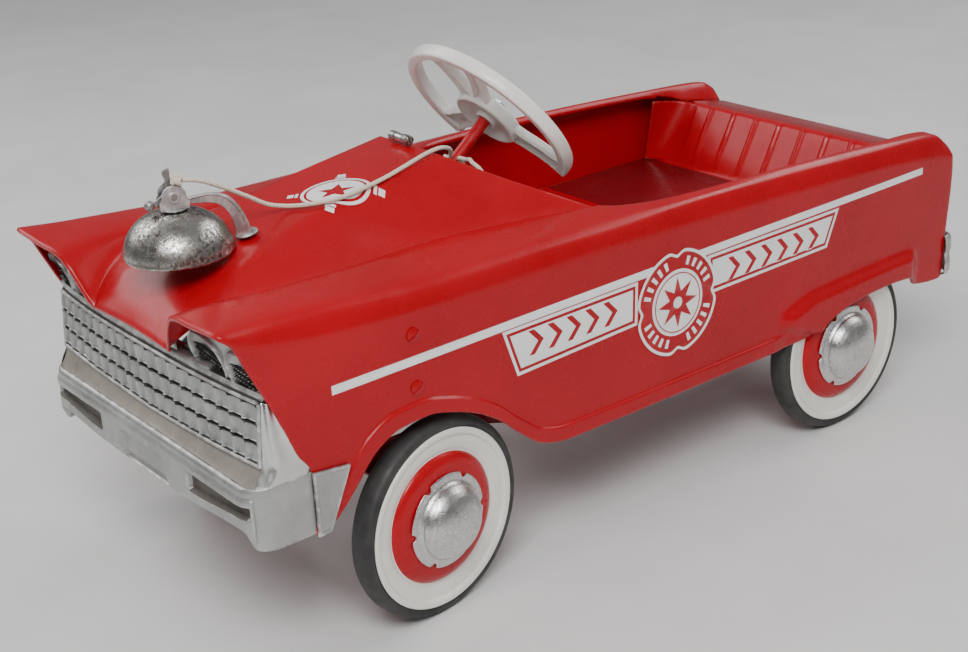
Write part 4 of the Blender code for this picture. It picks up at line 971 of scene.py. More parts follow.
def bump_between(value, start, end, soft):
    """1 between start and end with soft shoulders, 0 outside."""
    return smooth_step(value, start - soft, start + soft) * (1 - smooth_step(value, end - soft, end + soft))


SLOT_LOW, SLOT_TOP = 0.1600, 0.1745          # in section heights, before they are stretched


def bumper_detail(x, z, out):
    """Recessed slots and the hump over the plate recess in the bumper's face."""
    if out.y > -0.75:
        return 0.0
    ax = abs(x)
    slot = bump_between(ax, 0.080, 0.1735, 0.0022) * bump_between(z, SLOT_LOW, SLOT_TOP, 0.0009)
    hump = 0.0100 * (1 - smooth_step(ax, 0.030, 0.062))
    plate = bump_between(ax, -0.04, 0.040, 0.003) * bump_between(z, 0.1510, 0.1620 + hump, 0.0014)
    ledge = bump_between(z, 0.1545 - 0.004 * smooth_step(ax, 0.05, 0.08), 0.1800, 0.0012)
    return -0.0065 * slot - 0.0036 * plate + 0.0020 * ledge


# The recessed slots take the darker silver: painted shade.
def bumper_tint(x, z):
    return 1 if 0.0815 < abs(x) < 0.1725 and SLOT_LOW < z < SLOT_TOP else 0


BUMPER_TOP = 0.1920
SECTION_LOW, SECTION_TOP = 0.1474, 0.1880
SHELF_TOP = BUMPER_TOP - 0.0012


def bumper_low(x):
    """Height of the bumper's lower edge, which drops behind the corner fold."""
    rise = 0.0070 * smooth_step(abs(x), 0.045, 0.165)
    return 0.1410 + rise - 0.0140 * smooth_step(abs(x), 0.1665, 0.1745)


def bumper_height(x, z):
    """Stretch a section height so that its rows follow the lower edge, the slots and the top edge."""
    slot_low = 0.1580 + 0.0070 * smooth_step(abs(x), 0.083, 0.172)
    marks = [(SECTION_LOW, bumper_low(x)), (SLOT_LOW, slot_low), (SLOT_TOP, 0.1752),
             (SECTION_TOP, BUMPER_TOP)]
    for (a, low_z), (b, high_z) in zip(marks, marks[1:]):
        if z <= b or b == SECTION_TOP:
            return low_z + (high_z - low_z) * (z - a) / (b - a)


def add_bumper():
    """Bumper face with its slots, and the browner shelf from its top edge back to the grille."""
    section = [(0.1478, 0.0120), (0.1474, 0.0080), (0.1476, 0.0045), (0.1488, 0.0018)]
    section += [(0.1500 + 0.00072 * k, 0.0008 if k < 3 else 0.0) for k in range(48)]
    section += [(0.1850, 0.0004), (0.1862, 0.0014), (0.1872, 0.0028), (0.1880, 0.0045)]
    levels = [(z, back, BUMPER_CORNER - back, FRONT_END) for z, back in section]
    front_sheet("front_bumper", levels, [SILVER, SLOT_SHADE], 200, ["front_panel"])
    steps, rows = 110, 12

    def shelf(row, column):
        t = row / rows
        x = GRILLE_HALF * (column - steps) / steps
        bend = max(0.0, abs(x) - (FRONT_HALF - BUMPER_CORNER))
        front = FRONT_FACE + 0.0035 + BUMPER_CORNER - math.sqrt(BUMPER_CORNER ** 2 - bend ** 2)
        low_y, low_z = LOW_LINE(abs(x))
        return at_rel(x, front + (low_y + 0.0005 - front) * t, SHELF_TOP + (low_z - SHELF_TOP) * t ** 1.25)

    skin_sheet("bumper_shelf", grid(rows + 1, 2 * steps + 1, shelf), [SHELF])


def skin_sheet(name, made, mats, thickness=0.0009, smooth=45):
    """A thin sheet from a grid, with its outer face forward and its inner face near black, which is painted
    shade.
    """
    obj = publish(name, mesh_of(name, *made), mats + [PAINTED_SHADE], "chassis", smooth)
    face_forward(obj)
    thicken(obj, thickness, -1.0).material_offset = len(mats)
    return obj


TOP_LINE = hermite([(0.0, -0.1830, 0.2710), (0.074, -0.1795, 0.2684), (0.130, -0.1745, 0.2662),
                    (0.171, -0.1690, 0.2646), (0.186, -0.1630, 0.2615)])
LOW_LINE = hermite([(0.0, -0.1760, 0.2035), (0.100, -0.1748, 0.2058), (0.178, -0.1720, 0.2089),
                    (0.186, -0.1715, 0.2092)])
GRILLE_CELLS = 20
GRILLE_HALF = 0.1765


def grille_point(x, level, push):
    """A point of the leaning grille; level runs from 0 at its lower frame to 1 at its upper frame."""
    low_y, low_z = LOW_LINE(abs(x))
    top_y, top_z = TOP_LINE(abs(x))
    return at_rel(x, low_y + (top_y - low_y) * level - push, low_z + (top_z - low_z) * level)


RIB = {0.0: 1.0, 0.07: 0.90, 0.13: 0.45, 0.19: 0.08, 0.34: 0.0, 0.50: 0.0, 0.66: 0.0, 0.81: 0.08, 0.87: 0.45,
       0.93: 0.90}                              # share across a cell: height of the rib there
ROW_STEPS = (0.0, 0.07, 0.10, 0.15, 0.5, 0.85, 0.90, 0.93)
GRILLE_BARS = (("grille_frame_top", 1.0, 0.0016, 0.0017, SILVER),
               ("grille_frame_low", 0.0, 0.0016, 0.0018, SILVER),
               ("grille_shadow_top", 0.965, 0.0004, 0.0010, PAINTED_SHADE),
               ("grille_shadow_low", 0.035, 0.0004, 0.0010, PAINTED_SHADE),
               ("grille_shadow_edge", 1.035, 0.0002, 0.0009, PAINTED_SHADE))


def add_grille():
    """Pressed grille: three rows of cells between upright ribs, with painted shade in the gaps between rows.
    """
    pitch = 2 * GRILLE_HALF / GRILLE_CELLS
    columns = [(-GRILLE_HALF + (cell + share) * pitch, share)
               for cell in range(GRILLE_CELLS) for share in RIB]
    columns.append((GRILLE_HALF, 0.0))
    rows = [((row + share) / 3, share) for row in range(3) for share in ROW_STEPS] + [(1.0, 0.0)]

    def cell_point(r, c):
        (level, in_row), (x, in_cell) = rows[r], columns[c]
        push = (0.0022 + 0.0010 * math.sin(math.pi * in_row)) * RIB[in_cell]
        if in_row < 0.08 or in_row > 0.92:
            push = push * 0.45 - 0.0034
        elif in_row in (0.10, 0.90):
            push += 0.0010
        return grille_point(x, 0.03 + 0.94 * level, push)

    # The row edges take the near-black material: painted shade.
    def cell_tint(r, c):
        edge = rows[r - 1][1] < 0.06 or rows[r - 1][1] > 0.92
        return 1 if edge and 0.10 < columns[c - 1][1] < 0.85 else 0

    cells = grid(len(rows), len(columns), cell_point, cell_tint)
    skin_sheet("grille_cells", cells, [SILVER, PAINTED_SHADE], 0.0008, 40)
    for name, level, push, radius, mat in GRILLE_BARS:
        tube(name, [grille_point(GRILLE_HALF * k / 40, level, push) for k in range(-40, 41)], radius, mat)
    for side, word in SIDES:
        edge = [grille_point(side * GRILLE_HALF, k / 8, 0.0014) for k in range(9)]
        tube(f"grille_frame_{word}", edge, 0.0017, SILVER)
    # Near-black sheet behind the grille: painted shade.
    backing = grid(5, 121, lambda r, c: grille_point(0.1790 * (c - 60) / 60, -0.10 + 1.14 * r / 4, -0.0062))
    skin_sheet("grille_backing", backing, [PAINTED_SHADE], 0.0006)


def tube(name, points, radius, mat, sides=10, replaces=()):
    """A round bar through the points, with domed ends."""
    runs = [(b - a).normalized() for a, b in zip(points, points[1:])]
    side = runs[0].orthogonal().normalized()
    verts, faces = [], []
    for k, point in enumerate(points):
        before, after = runs[max(k - 1, 0)], runs[min(k, len(runs) - 1)]
        tangent = (before + after).normalized()
        side = (side - tangent * side.dot(tangent)).normalized()
        up = tangent.cross(side)
        for n in range(sides):
            turn = TAU * n / sides
            verts.append(point + (side * math.cos(turn) + up * math.sin(turn)) * radius)
    for k in range(len(points) - 1):
        for n in range(sides):
            m = (n + 1) % sides
            faces.append((k * sides + n, (k + 1) * sides + n, (k + 1) * sides + m, k * sides + m))
    tips = ((0, points[0] - runs[0] * 0.0004), (len(points) - 1, points[-1] + runs[-1] * 0.0004))
    for base, tip in tips:
        verts.append(tip)
        for n in range(sides):
            faces.append((base * sides + n, base * sides + (n + 1) % sides, len(verts) - 1))
    return publish(name, mesh_of(name, verts, faces), mat, "chassis", 50, replaces)


# each lamp: x, z, half width, half height
LAMPS = [(0.112, 0.2850, 0.0275, 0.0240), (0.164, 0.2830, 0.0222, 0.0240)]
LAMP_TILT = math.radians(11)
PANEL_TOP = hermite([(0.062, 0.2800), (0.070, 0.2830), (0.081, 0.2910), (0.092, 0.3060), (0.103, 0.3195),
                     (0.120, 0.3250), (0.143, 0.3270), (0.174, 0.3270), (0.1825, 0.3170)])
BACKING_TOP = hermite([(0.054, 0.3085), (0.080, 0.3080), (0.093, 0.3095), (0.106, 0.3225), (0.143, 0.3265),
                       (0.174, 0.3250), (0.182, 0.3080)])


LOUVRE_TOP = 0.16           # the louvres start a little above the middle of a lamp
LOUVRES, LOUVRE_SAG = 4.3, 0.30
PANEL_IN, PANEL_OUT = 0.062, 0.1828
PANEL_FACE, PANEL_LEAN = -0.1720, 0.27
BACKING_Y = -0.1400


def lamp_place(x, z, lamp):
    """Place in a lamp's own tilted frame, where its rim is at a distance of 1."""
    cx, cz, rx, rz = lamp
    c, s = math.cos(LAMP_TILT), math.sin(LAMP_TILT)
    dx, dz = abs(x) - cx, z - cz
    return (dx * c - dz * s) / rx, (dx * s + dz * c) / rz


def louvre(u, v):
    """Share of the way through one louvre of the lower half of a lamp."""
    return (((LOUVRE_TOP - v) / 1.04) * LOUVRES + LOUVRE_SAG * u * u) % 1.0


def lamp_depth(x, z):
    """How far the plain lamp panel is pushed out or in at a point."""
    depth = 0.0
    for lamp in LAMPS:
        u, v = lamp_place(x, z, lamp)
        d = math.hypot(u, v)
        rim = math.exp(-((d - 0.95) / 0.055) ** 2) * 0.0036 - math.exp(-((d - 1.08) / 0.05) ** 2) * 0.0010
        dish = 0.0
        if d < 0.90:
            dish = -0.0060 * (1 - (d / 0.90) ** 2)
            if v < LOUVRE_TOP:
                wave = louvre(u, v)
                if wave < 0.30:
                    step = -0.0034
                elif wave < 0.40:
                    step = -0.0034 + 0.0044 * (wave - 0.30) / 0.10
                else:
                    step = 0.0010 - 0.0034 * (wave - 0.40) / 0.60
                dish = -0.0012 + step * smooth_step(0.90 - d, 0.0, 0.06)
        depth += rim + dish
    return depth


# The sunk part of each louvre takes the near-black material: painted shade.
def lamp_tint(x, z):
    for lamp in LAMPS:
        u, v = lamp_place(x, z, lamp)
        if math.hypot(u, v) < 0.86 and v < LOUVRE_TOP and louvre(u, v) < 0.34:
            return 1
    return 0


def between(low, high, step, steps):
    return low + (high - low) * step / steps


def add_lamp_panels():
    """Twin lamp bezels under each brow, pressed into one plain panel that leans forward."""
    wide, tall = 140, 90

    def spot(r, c):
        x = between(PANEL_IN, PANEL_OUT, c, wide)
        return x, between(0.2560, PANEL_TOP(x)[0], r, tall)

    for side, word in SIDES:
        def panel(r, c):
            x, z = spot(r, c)
            y = PANEL_FACE - PANEL_LEAN * (z - 0.285) + 0.35 * max(0.0, x - 0.150) ** 1.3
            return at_rel(side * x, y - lamp_depth(x, z), z)

        def backing(r, c):
            x = between(0.054, 0.1820, c, 30)
            return at_rel(side * x, BACKING_Y, between(0.2620, BACKING_TOP(x)[0], r, 8))

        skin_sheet(f"lamp_panel_{word}", grid(tall + 1, wide + 1, panel, lambda r, c: lamp_tint(*spot(r, c))),
                   [SILVER, PAINTED_SHADE], 0.0008)
        skin_sheet(f"lamp_backing_{word}", grid(9, 31, backing), [DARK_RED], 0.0006)


def add_front_band():
    """Plain band above the grille that runs back under the nose and the brows."""
    steps = 90
    rows = [(1.04, 0.0004), (1.09, -0.0006), (1.13, -0.0012), (1.16, -0.0040), (1.17, -0.0100),
            (1.17, -0.0150)]

    def band(row, column):
        level, push = rows[row]
        outer = abs(column - steps) > 55 and row > 2
        return grille_point(0.1790 * (column - steps) / steps, level - (0.05 if outer else 0.0), push)

    skin_sheet("nose_band", grid(len(rows), 2 * steps + 1, band), [SILVER], 0.0008)
    strip = ((0.2790, -0.1818), (0.2820, -0.1822), (0.2860, -0.1822), (0.2900, -0.1800))

    def closing(row, column):
        z, y = strip[row]
        x = 0.066 * (column - 40) / 40
        return at_rel(x, y + 0.9 * x ** 2, z)

    skin_sheet("nose_closing_strip", grid(len(strip), 81, closing), [SILVER], 0.0008)


def add_front_corners():
    """Folded bright sheet from the grille's end round to the body side and down to the bumper."""
    tall, wide = 34, 30
    low_end, top_end = LOW_LINE(GRILLE_HALF)[1], TOP_LINE(GRILLE_HALF)[1]
    bend_r = FRONT_HALF - 0.0006 - 0.1653                # radius and centre of the bumper's own corner

    def corner(r, c):
        z = between(0.1908, 0.2640, r, tall)
        edge = grille_point(GRILLE_HALF + 0.0004, max((z - low_end) / (top_end - low_end), 0.0), 0.0004)
        inner = Vector((edge.x, edge.y - FRONT_Y))
        outer = Vector((0.1834, SIDE_FRONT(z)[0] + 0.0060))
        elbow = Vector((0.1846, inner.y + 0.0035))
        t = c / wide
        point = inner.lerp(elbow, t).lerp(elbow.lerp(outer, t), t)
        turn = math.radians(40 + 50 * min(t * 1.6, 1.0))
        arc = Vector((0.1653 + bend_r * math.sin(turn),
                      FRONT_FACE + BUMPER_CORNER - bend_r * math.cos(turn)))
        arc.y += (-0.1330 - arc.y) * max(0.0, (t - 0.6) / 0.4)
        point = point.lerp(arc, 1 - smooth_step(z, 0.1905, 0.2110))
        fade = math.sin(math.pi * t) * math.sin(math.pi * min(r / 12, 1) / 2)
        fold = 0.0016 * math.sin(t * 13.0 + r * 0.10) * fade
        return point + Vector((fold, -fold * 0.6)), z

    for side, word in SIDES:
        def place(r, c):
            point, z = corner(r, c)
            return at_rel(side * min(point.x, 0.1843), point.y, z)

        skin_sheet(f"front_corner_{word}", grid(tall + 1, wide + 1, place), [BRIGHT], 0.0008, 60)


FLAG = [(-0.1316, 0.1320), (-0.1190, 0.1330), (-0.0945, 0.1874), (-0.1316, 0.1915)]
FLAG_BORDER = ((0.0, -0.0012), (0.0, 0.0010), (0.0006, 0.0018), (0.0022, 0.0018), (0.0032, 0.0010),
               (0.0042, 0.0007))                 # distance in from the edge, height


def add_bumper_wings():
    """Flag-shaped ends on the body sides, with a raised border."""
    count = 60
    for side, word in SIDES:
        verts = []
        for amount, lift in FLAG_BORDER:
            ring = densify([tuple(p) for p in inset(FLAG, amount)] if amount else FLAG, 0.004)
            verts += [at_rel(side * (0.1868 + lift), y, z) for y, z in resample(ring, count)]
        first, last = end_faces(len(FLAG_BORDER), count)
        faces = wall(len(FLAG_BORDER), count) + [last, tuple(reversed(first))]
        publish(f"bumper_flag_{word}", mesh_of("bumper_flag", verts, faces), SILVER, "chassis", 40,
                [f"bumper_wing_{word}"])


def resample(ring, count):
    """Even points round a closed outline, starting at its first point."""
    ring = [Vector(p) for p in ring]
    ring.append(ring[0])
    lengths = [0.0]
    for a, b in zip(ring, ring[1:]):
        lengths.append(lengths[-1] + (b - a).length)
    out, k = [], 0
    for n in range(count):
        want = lengths[-1] * n / count
        while lengths[k + 1] < want:
            k += 1
        share = (want - lengths[k]) / (lengths[k + 1] - lengths[k])
        out.append(ring[k].lerp(ring[k + 1], share))
    return out


def add_rear_bumper():
    """Two-rib strip round the tail, bent forward at its ends."""
    section = [(0.1310, -0.0040), (0.1305, -0.0015), (0.1315, 0.0), (0.1350, 0.0012), (0.1450, 0.0016),
               (0.1500, 0.0004), (0.1560, 0.0004), (0.1610, 0.0016), (0.1710, 0.0012), (0.1745, 0.0),
               (0.1755, -0.0015), (0.1750, -0.0040)]
    half, corner, face = 0.1868, 0.0130, 0.7238
    plan = [((half - corner) * k / 12, face, 0, 1) for k in range(12)]
    for k in range(9):
        turn = math.pi / 2 * k / 8
        nx, ny = math.sin(turn), math.cos(turn)
        plan.append((half - corner + corner * nx, face - corner + corner * ny, nx, ny))
    plan.append((half, face - corner - 0.004, 1, 0))
    full = [(-x, y, -nx, ny) for x, y, nx, ny in reversed(plan[1:])] + plan

    def place(row, column):
        z, out = section[row]
        x, y, nx, ny = full[column]
        return at_rel(x + nx * out, y + ny * out, z)

    made = mesh_of("rear_bumper_strip", *grid(len(section), len(full), place))
    thicken(publish("rear_bumper_strip", made, SILVER, "chassis", 45, ["rear_bumper"]), 0.001)


# ---------------------------------------------------------------- seat
SEAT_RIDGES = [0.0, 0.035, 0.070, 0.105]


def seat_ridge(x):
    return max(math.exp(-((abs(x) - place) / 0.0022) ** 2) for place in SEAT_RIDGES)


SEAT_LINE = [                       # y, z and half width, from the front lip back to the deck's end
    (0.4270, 0.1980, 0.181), (0.4245, 0.2035, 0.181), (0.4240, 0.2100, 0.181), (0.4258, 0.2140, 0.181),
    (0.4300, 0.2160, 0.181), (0.4350, 0.2158, 0.181), (0.4420, 0.2152, 0.1815), (0.5200, 0.2150, 0.182),
    (0.5980, 0.2150, 0.182), (0.6040, 0.2155, 0.182), (0.6068, 0.2180, 0.182), (0.6085, 0.2230, 0.130),
    (0.6180, 0.2400, 0.130), (0.6290, 0.2600, 0.130), (0.6375, 0.2755, 0.130), (0.6400, 0.2800, 0.130),
    (0.6425, 0.2830, 0.132), (0.6470, 0.2838, 0.144), (0.6700, 0.2795, 0.146), (0.7000, 0.2735, 0.146),
    (0.7050, 0.2720, 0.146), (0.7065, 0.2700, 0.146), (0.7068, 0.2660, 0.146)]


def add_seat():
    """Seat stamping: rolled front lip, flat pan, ribbed back and the deck behind it."""
    across = 160

    def place(row, column):
        y, z, half = SEAT_LINE[row]
        x = half * (2 * column / across - 1)
        on_back = smooth_step(z, 0.2200, 0.2300) * (1 - smooth_step(y, 0.6425, 0.6500))
        push = 0.0024 * seat_ridge(x) * on_back
        return at_rel(x, y - push * 0.9, z + push * 0.45)

    # Tint 1, the rear deck, takes the darker red: painted shade.
    def tint(row, column):
        y = SEAT_LINE[row][0]
        return 1 if y > 0.6480 else 2 if 0.4420 < y < 0.6050 else 0

    made = mesh_of("seat_stamping", *grid(len(SEAT_LINE), across + 1, place, tint))
    thicken(publish("seat_stamping", made, [RED, DECK_RED, DARK_RED], "chassis", 50, ["seat_pan"]), 0.0012)


def add_seat_corners():
    """Curved plain sheet between the ribbed back and each body side."""
    tall, wide = 24, 24
    for side, word in SIDES:
        def place(r, c):
            s, t = r / tall, c / wide
            inner = Vector((0.1285, 0.6062 + 0.0363 * s, 0.2172 + 0.0662 * s))
            elbow = Vector((0.1640 - 0.0040 * s, 0.6085 + 0.0420 * s, 0.2168 + 0.0672 * s))
            outer = Vector((0.1756 - 0.0105 * s, 0.5960 + 0.0045 * s, 0.2160 + 0.0735 * s))
            point = inner.lerp(elbow, t).lerp(elbow.lerp(outer, t), t)
            return at_rel(side * point.x, point.y, point.z)

        made = mesh_of("seat_corner", *grid(tall + 1, wide + 1, place))
        thicken(publish(f"seat_corner_{word}", made, RED, "chassis", 50), 0.0010)


def add_rear_panel():
    """Plain sheet that closes the tail, with a shallow pressed field."""
    wide, tall = 60, 24

    def place(r, c):
        x, z = -0.1805 + 0.361 * c / wide, 0.132 + 0.134 * r / tall
        inside = bump_between(abs(x), -1, 0.150, 0.006) * bump_between(z, 0.185, 0.250, 0.004)
        return at_rel(x, 0.6990 - 0.0016 * inside, z)

    made = mesh_of("tail_sheet", *grid(tall + 1, wide + 1, place))
    thicken(publish("tail_sheet", made, RED, "chassis", 40, ["rear_panel"]), 0.0012)


# ---------------------------------------------------------------- wheels
TYRE_PROFILE = [(0.0795, -0.0088), (0.0843, -0.0092), (0.0858, -0.0112), (0.0885, -0.0117), (0.0915, -0.0108),
                (0.0935, -0.0085), (0.0946, -0.0050), (0.0950, 0.0), (0.0946, 0.0050), (0.0935, 0.0085),
                (0.0915, 0.0108), (0.0885, 0.0117), (0.0858, 0.0112), (0.0843, 0.0094), (0.0795, 0.0088)]
DISC_FACE = [(0.0838, 0.0098), (0.0849, 0.0108), (0.0846, 0.0122), (0.0828, 0.0127), (0.0800, 0.0122),
             (0.0786, 0.0118), (0.0779, 0.0104), (0.0770, 0.0097), (0.0720, 0.0097), (0.0665, 0.0088),
             (0.0640, 0.0077), (0.0622, 0.0068), (0.0612, 0.0076), (0.0600, 0.0092), (0.0570, 0.0112),
             (0.0530, 0.0126), (0.0430, 0.0138)]
DISC_BACK = [(0.0057, 0.0140), (0.0057, -0.0150), (0.0095, -0.0150), (0.0095, 0.0122), (0.0425, 0.0120),
             (0.0520, 0.0108), (0.0585, 0.0074), (0.0625, 0.0052), (0.0665, 0.0071), (0.0770, 0.0082),
             (0.0775, -0.0113), (0.0838, -0.0113), (0.0838, -0.0098), (0.0790, -0.0094), (0.0790, 0.0094)]
CAP_PROFILE = [(0, 0.0385), (0.0060, 0.0382), (0.0110, 0.0375), (0.0165, 0.0361), (0.0220, 0.0340),
               (0.0270, 0.0310), (0.0310, 0.0275), (0.0337, 0.0238), (0.0350, 0.0212), (0.0348, 0.0200),
               (0.0356, 0.0188), (0.0366, 0.0175), (0.0376, 0.0167), (0.0400, 0.0164), (0.0432, 0.0162),
               (0.0447, 0.0156), (0.0445, 0.0146), (0.0362, 0.0150), (0.0346, 0.0196), (0.0300, 0.0265),
               (0.0213, 0.0328), (0.0106, 0.0362), (0, 0.0372)]


WHITE_FROM = 0.0622           # the white band starts here
CAP_NOTCHES = 6
HUB_Z = 0.095


def add_wheel(word, centre, axis, body):
    """Black tyre, white band and red dish of one disc, and a chrome cap with notched flange."""
    name = f"tyre_{word}"
    turned(f"{name}_detailed", rounded(TYRE_PROFILE, 0.0010, 2), TYRE, centre, axis, body, 96, [name],
           smooth=50)
    smooth_disc = rounded(DISC_FACE, 0.0008, 2, closed=False)
    tint = [1 if radius > WHITE_FROM else 0 for radius, _ in smooth_disc]
    smooth_disc += DISC_BACK
    tint += [0] * len(DISC_BACK)
    turned(f"wheel_disc_{word}_detailed", smooth_disc, [RED, WHITE_TYRE], centre, axis, body, 96,
           [f"wheel_disc_{word}"], tint, 50)

    def notch(turn, radius, height):
        if radius < 0.0385:
            return radius, height
        away = min(abs((turn - TAU * k / CAP_NOTCHES + math.pi) % TAU - math.pi) for k in range(CAP_NOTCHES))
        deep = 1 - smooth_step(away, 0.050, 0.085)
        return min(radius, 0.0446 - 0.0042 * deep), height

    turned(f"hub_cap_{word}_detailed", rounded(CAP_PROFILE, 0.0008, 2), CHROME, centre, axis, body, 192,
           [f"hub_cap_{word}"], None, 50, notch)


STEER_REST = math.radians(7.7)
STUB = 0.031                  # from a kingpin out to its wheel


def add_wheels():
    for side, word in SIDES:
        pin = Vector((side * 0.140, FRONT_Y - STUB * math.sin(STEER_REST), HUB_Z))
        outward = Matrix.Rotation(STEER_REST, 3, "Z") @ Vector((side, 0, 0))
        add_wheel(f"front_{word}", pin + outward * STUB, outward, f"front_wheel_{word}")
        body = "crank_axle" if side > 0 else "rear_wheel_right"
        add_wheel(f"rear_{word}", Vector((side * 0.171, REAR_Y, HUB_Z)), (side, 0, 0), body)


# ---------------------------------------------------------------- steering wheel
COLUMN_TILT = math.radians(38.5)
WHEEL_CENTRE = at_rel(0, 0.213, 0.381)
ALONG = Vector((0, math.cos(COLUMN_TILT), math.sin(COLUMN_TILT)))
WHEEL_UP = Vector((0, -math.sin(COLUMN_TILT), math.cos(COLUMN_TILT)))
RIM_START, RIM_END = math.radians(-51), math.radians(208)
SPOKES = ((-43, 0.0125), (63.5, 0.0068), (93.5, 0.0068), (200, 0.0125))


def wheel_point(turn, radius, depth):
    return (WHEEL_CENTRE + (Vector((1, 0, 0)) * math.cos(turn) + WHEEL_UP * math.sin(turn)) * radius
            + ALONG * depth)


def add_steering_wheel():
    """C-shaped rim with a deep front face, two broad and two narrow spokes and a bowl-shaped hub."""
    section = rounded([(0.0832, 0.0015), (0.0938, 0.0), (0.0954, 0.0040), (0.0954, 0.0120), (0.0936, 0.0144),
                       (0.0854, 0.0144), (0.0836, 0.0125)], 0.0026, 4)
    steps = 130
    verts = []
    for k in range(steps + 1):
        turn = RIM_START + (RIM_END - RIM_START) * k / steps
        verts += [wheel_point(turn, radius, depth) for radius, depth in section]
    faces = wall(steps + 1, len(section)) + end_faces(steps + 1, len(section))
    rim = publish("steering_rim", mesh_of("steering_rim", verts, faces), WHITE, "steering", 50,
                  ["steering_wheel"])
    bevelled(rim, 0.0010, 3, 60)
    hub = rounded([(0.0067, 0.0035), (0.0150, 0.0035), (0.0220, 0.0030), (0.0290, -0.0010), (0.0320, -0.0022),
                   (0.0345, -0.0005), (0.0350, 0.0100), (0.0320, 0.0126), (0.0180, 0.0136), (0.0067, 0.0142)],
                  0.0022, 3)
    turned("steering_hub", hub, WHITE, WHEEL_CENTRE, ALONG, "steering", 72, smooth=50)
    boss = rounded([(0.0067, -0.0016), (0.0105, -0.0016), (0.0112, 0.0036), (0.0067, 0.0036)], 0.0008, 2)
    turned("steering_hub_boss", boss, WHITE, WHEEL_CENTRE, ALONG, "steering", 48, smooth=50)
    for k, (degrees, half) in enumerate(SPOKES):
        add_spoke(f"steering_spoke_{k}", math.radians(degrees), half)


SPOKE_SHAPE = [(-1.0, 0.20), (-1.0, 0.75), (-0.86, 1.0), (-0.66, 0.95), (-0.50, 0.62), (0.0, 0.55),
               (0.50, 0.62), (0.66, 0.95), (0.86, 1.0), (1.0, 0.75), (1.0, 0.20), (0.86, -0.10),
               (0.66, -0.05), (0.50, 0.28), (0.0, 0.34), (-0.50, 0.28), (-0.66, -0.05), (-0.86, -0.10)]
SPOKE_FROM, SPOKE_TO = 0.0300, 0.0890


def add_spoke(name, turn, half_width):
    """Tapered channel spoke with raised ribs on both faces that flares into the rim and the hub."""
    first = Vector((1, 0, 0)) * math.cos(turn) + WHEEL_UP * math.sin(turn)
    across = ALONG.cross(first)
    verts = []
    steps = 32
    for k in range(steps + 1):
        share = k / steps
        radius = SPOKE_FROM + (SPOKE_TO - SPOKE_FROM) * share
        flare = 0.0034 * smooth_step(share, 0.72, 1.0) + 0.0026 * (1 - smooth_step(share, 0.0, 0.25))
        half = half_width + flare
        base = 0.0022 + 0.0012 * math.sin(math.pi * share)
        middle = WHEEL_CENTRE + first * radius
        verts += [middle + across * (side * half) + ALONG * (base + 0.0085 * height)
                  for side, height in SPOKE_SHAPE]
    faces = wall(steps + 1, len(SPOKE_SHAPE)) + end_faces(steps + 1, len(SPOKE_SHAPE))
    publish(name, mesh_of(name, verts, faces), WHITE, "steering", 60)


# ---------------------------------------------------------------- bell
BELL_AXIS = Vector((0.010, FRONT_Y - 0.136, 0.0))
BELL_RIM_Z = 0.3428
BELL_R, BELL_H = 0.0476, 0.037
BELL_FOOT = Vector((0.027, FRONT_Y - 0.078, 0.0))
TOWARDS = Vector((BELL_AXIS.x - BELL_FOOT.x, BELL_AXIS.y - BELL_FOOT.y, 0)).normalized()
ACROSS = Vector((-TOWARDS.y, TOWARDS.x, 0))
UP = Vector((0, 0, 1))
FOOT_AXIS = (UP * 0.976 + TOWARDS * 0.198).normalized()      # square to the hood at the foot
GONG_WALL = 0.0014


def add_bell():
    """Gong with a rolled rim, and what carries and strikes it."""
    outer, inner = [], []
    for k in range(19):
        turn = math.pi / 2 * k / 18
        outer.append((BELL_R * math.sin(turn) ** 0.92, BELL_H * math.cos(turn) ** 1.05 if k < 18 else 0.0))
        inner.append(((BELL_R - GONG_WALL) * math.sin(turn) ** 0.92,
                      (BELL_H - GONG_WALL) * math.cos(turn) ** 1.05 if k < 18 else 0.0))
    outer[0], inner[0] = (0.0036, BELL_H), (0.0036, BELL_H - GONG_WALL)
    outer += [(BELL_R + 0.0004, -0.0008), (BELL_R - 0.0002, -0.0018), (BELL_R - 0.0016, -0.0016)]
    turned("bell_gong", outer + list(reversed(inner)), BELL_CHROME, BELL_AXIS + UP * BELL_RIM_Z, UP,
           "chassis", 128, ["bell_dome"], None, 60)
    add_bell_bracket()
    add_bell_lever()


STRAP_OUTER = [(-0.0035, 0.3474), (-0.0010, 0.3600), (0.0050, 0.3740), (0.0140, 0.3850), (0.0260, 0.3902),
               (0.0420, 0.3900), (0.0560, 0.3884)]
STRAP_INNER = [(0.0560, 0.3838), (0.0400, 0.3830), (0.0250, 0.3800), (0.0150, 0.3700), (0.0108, 0.3560),
               (0.0105, 0.3474)]


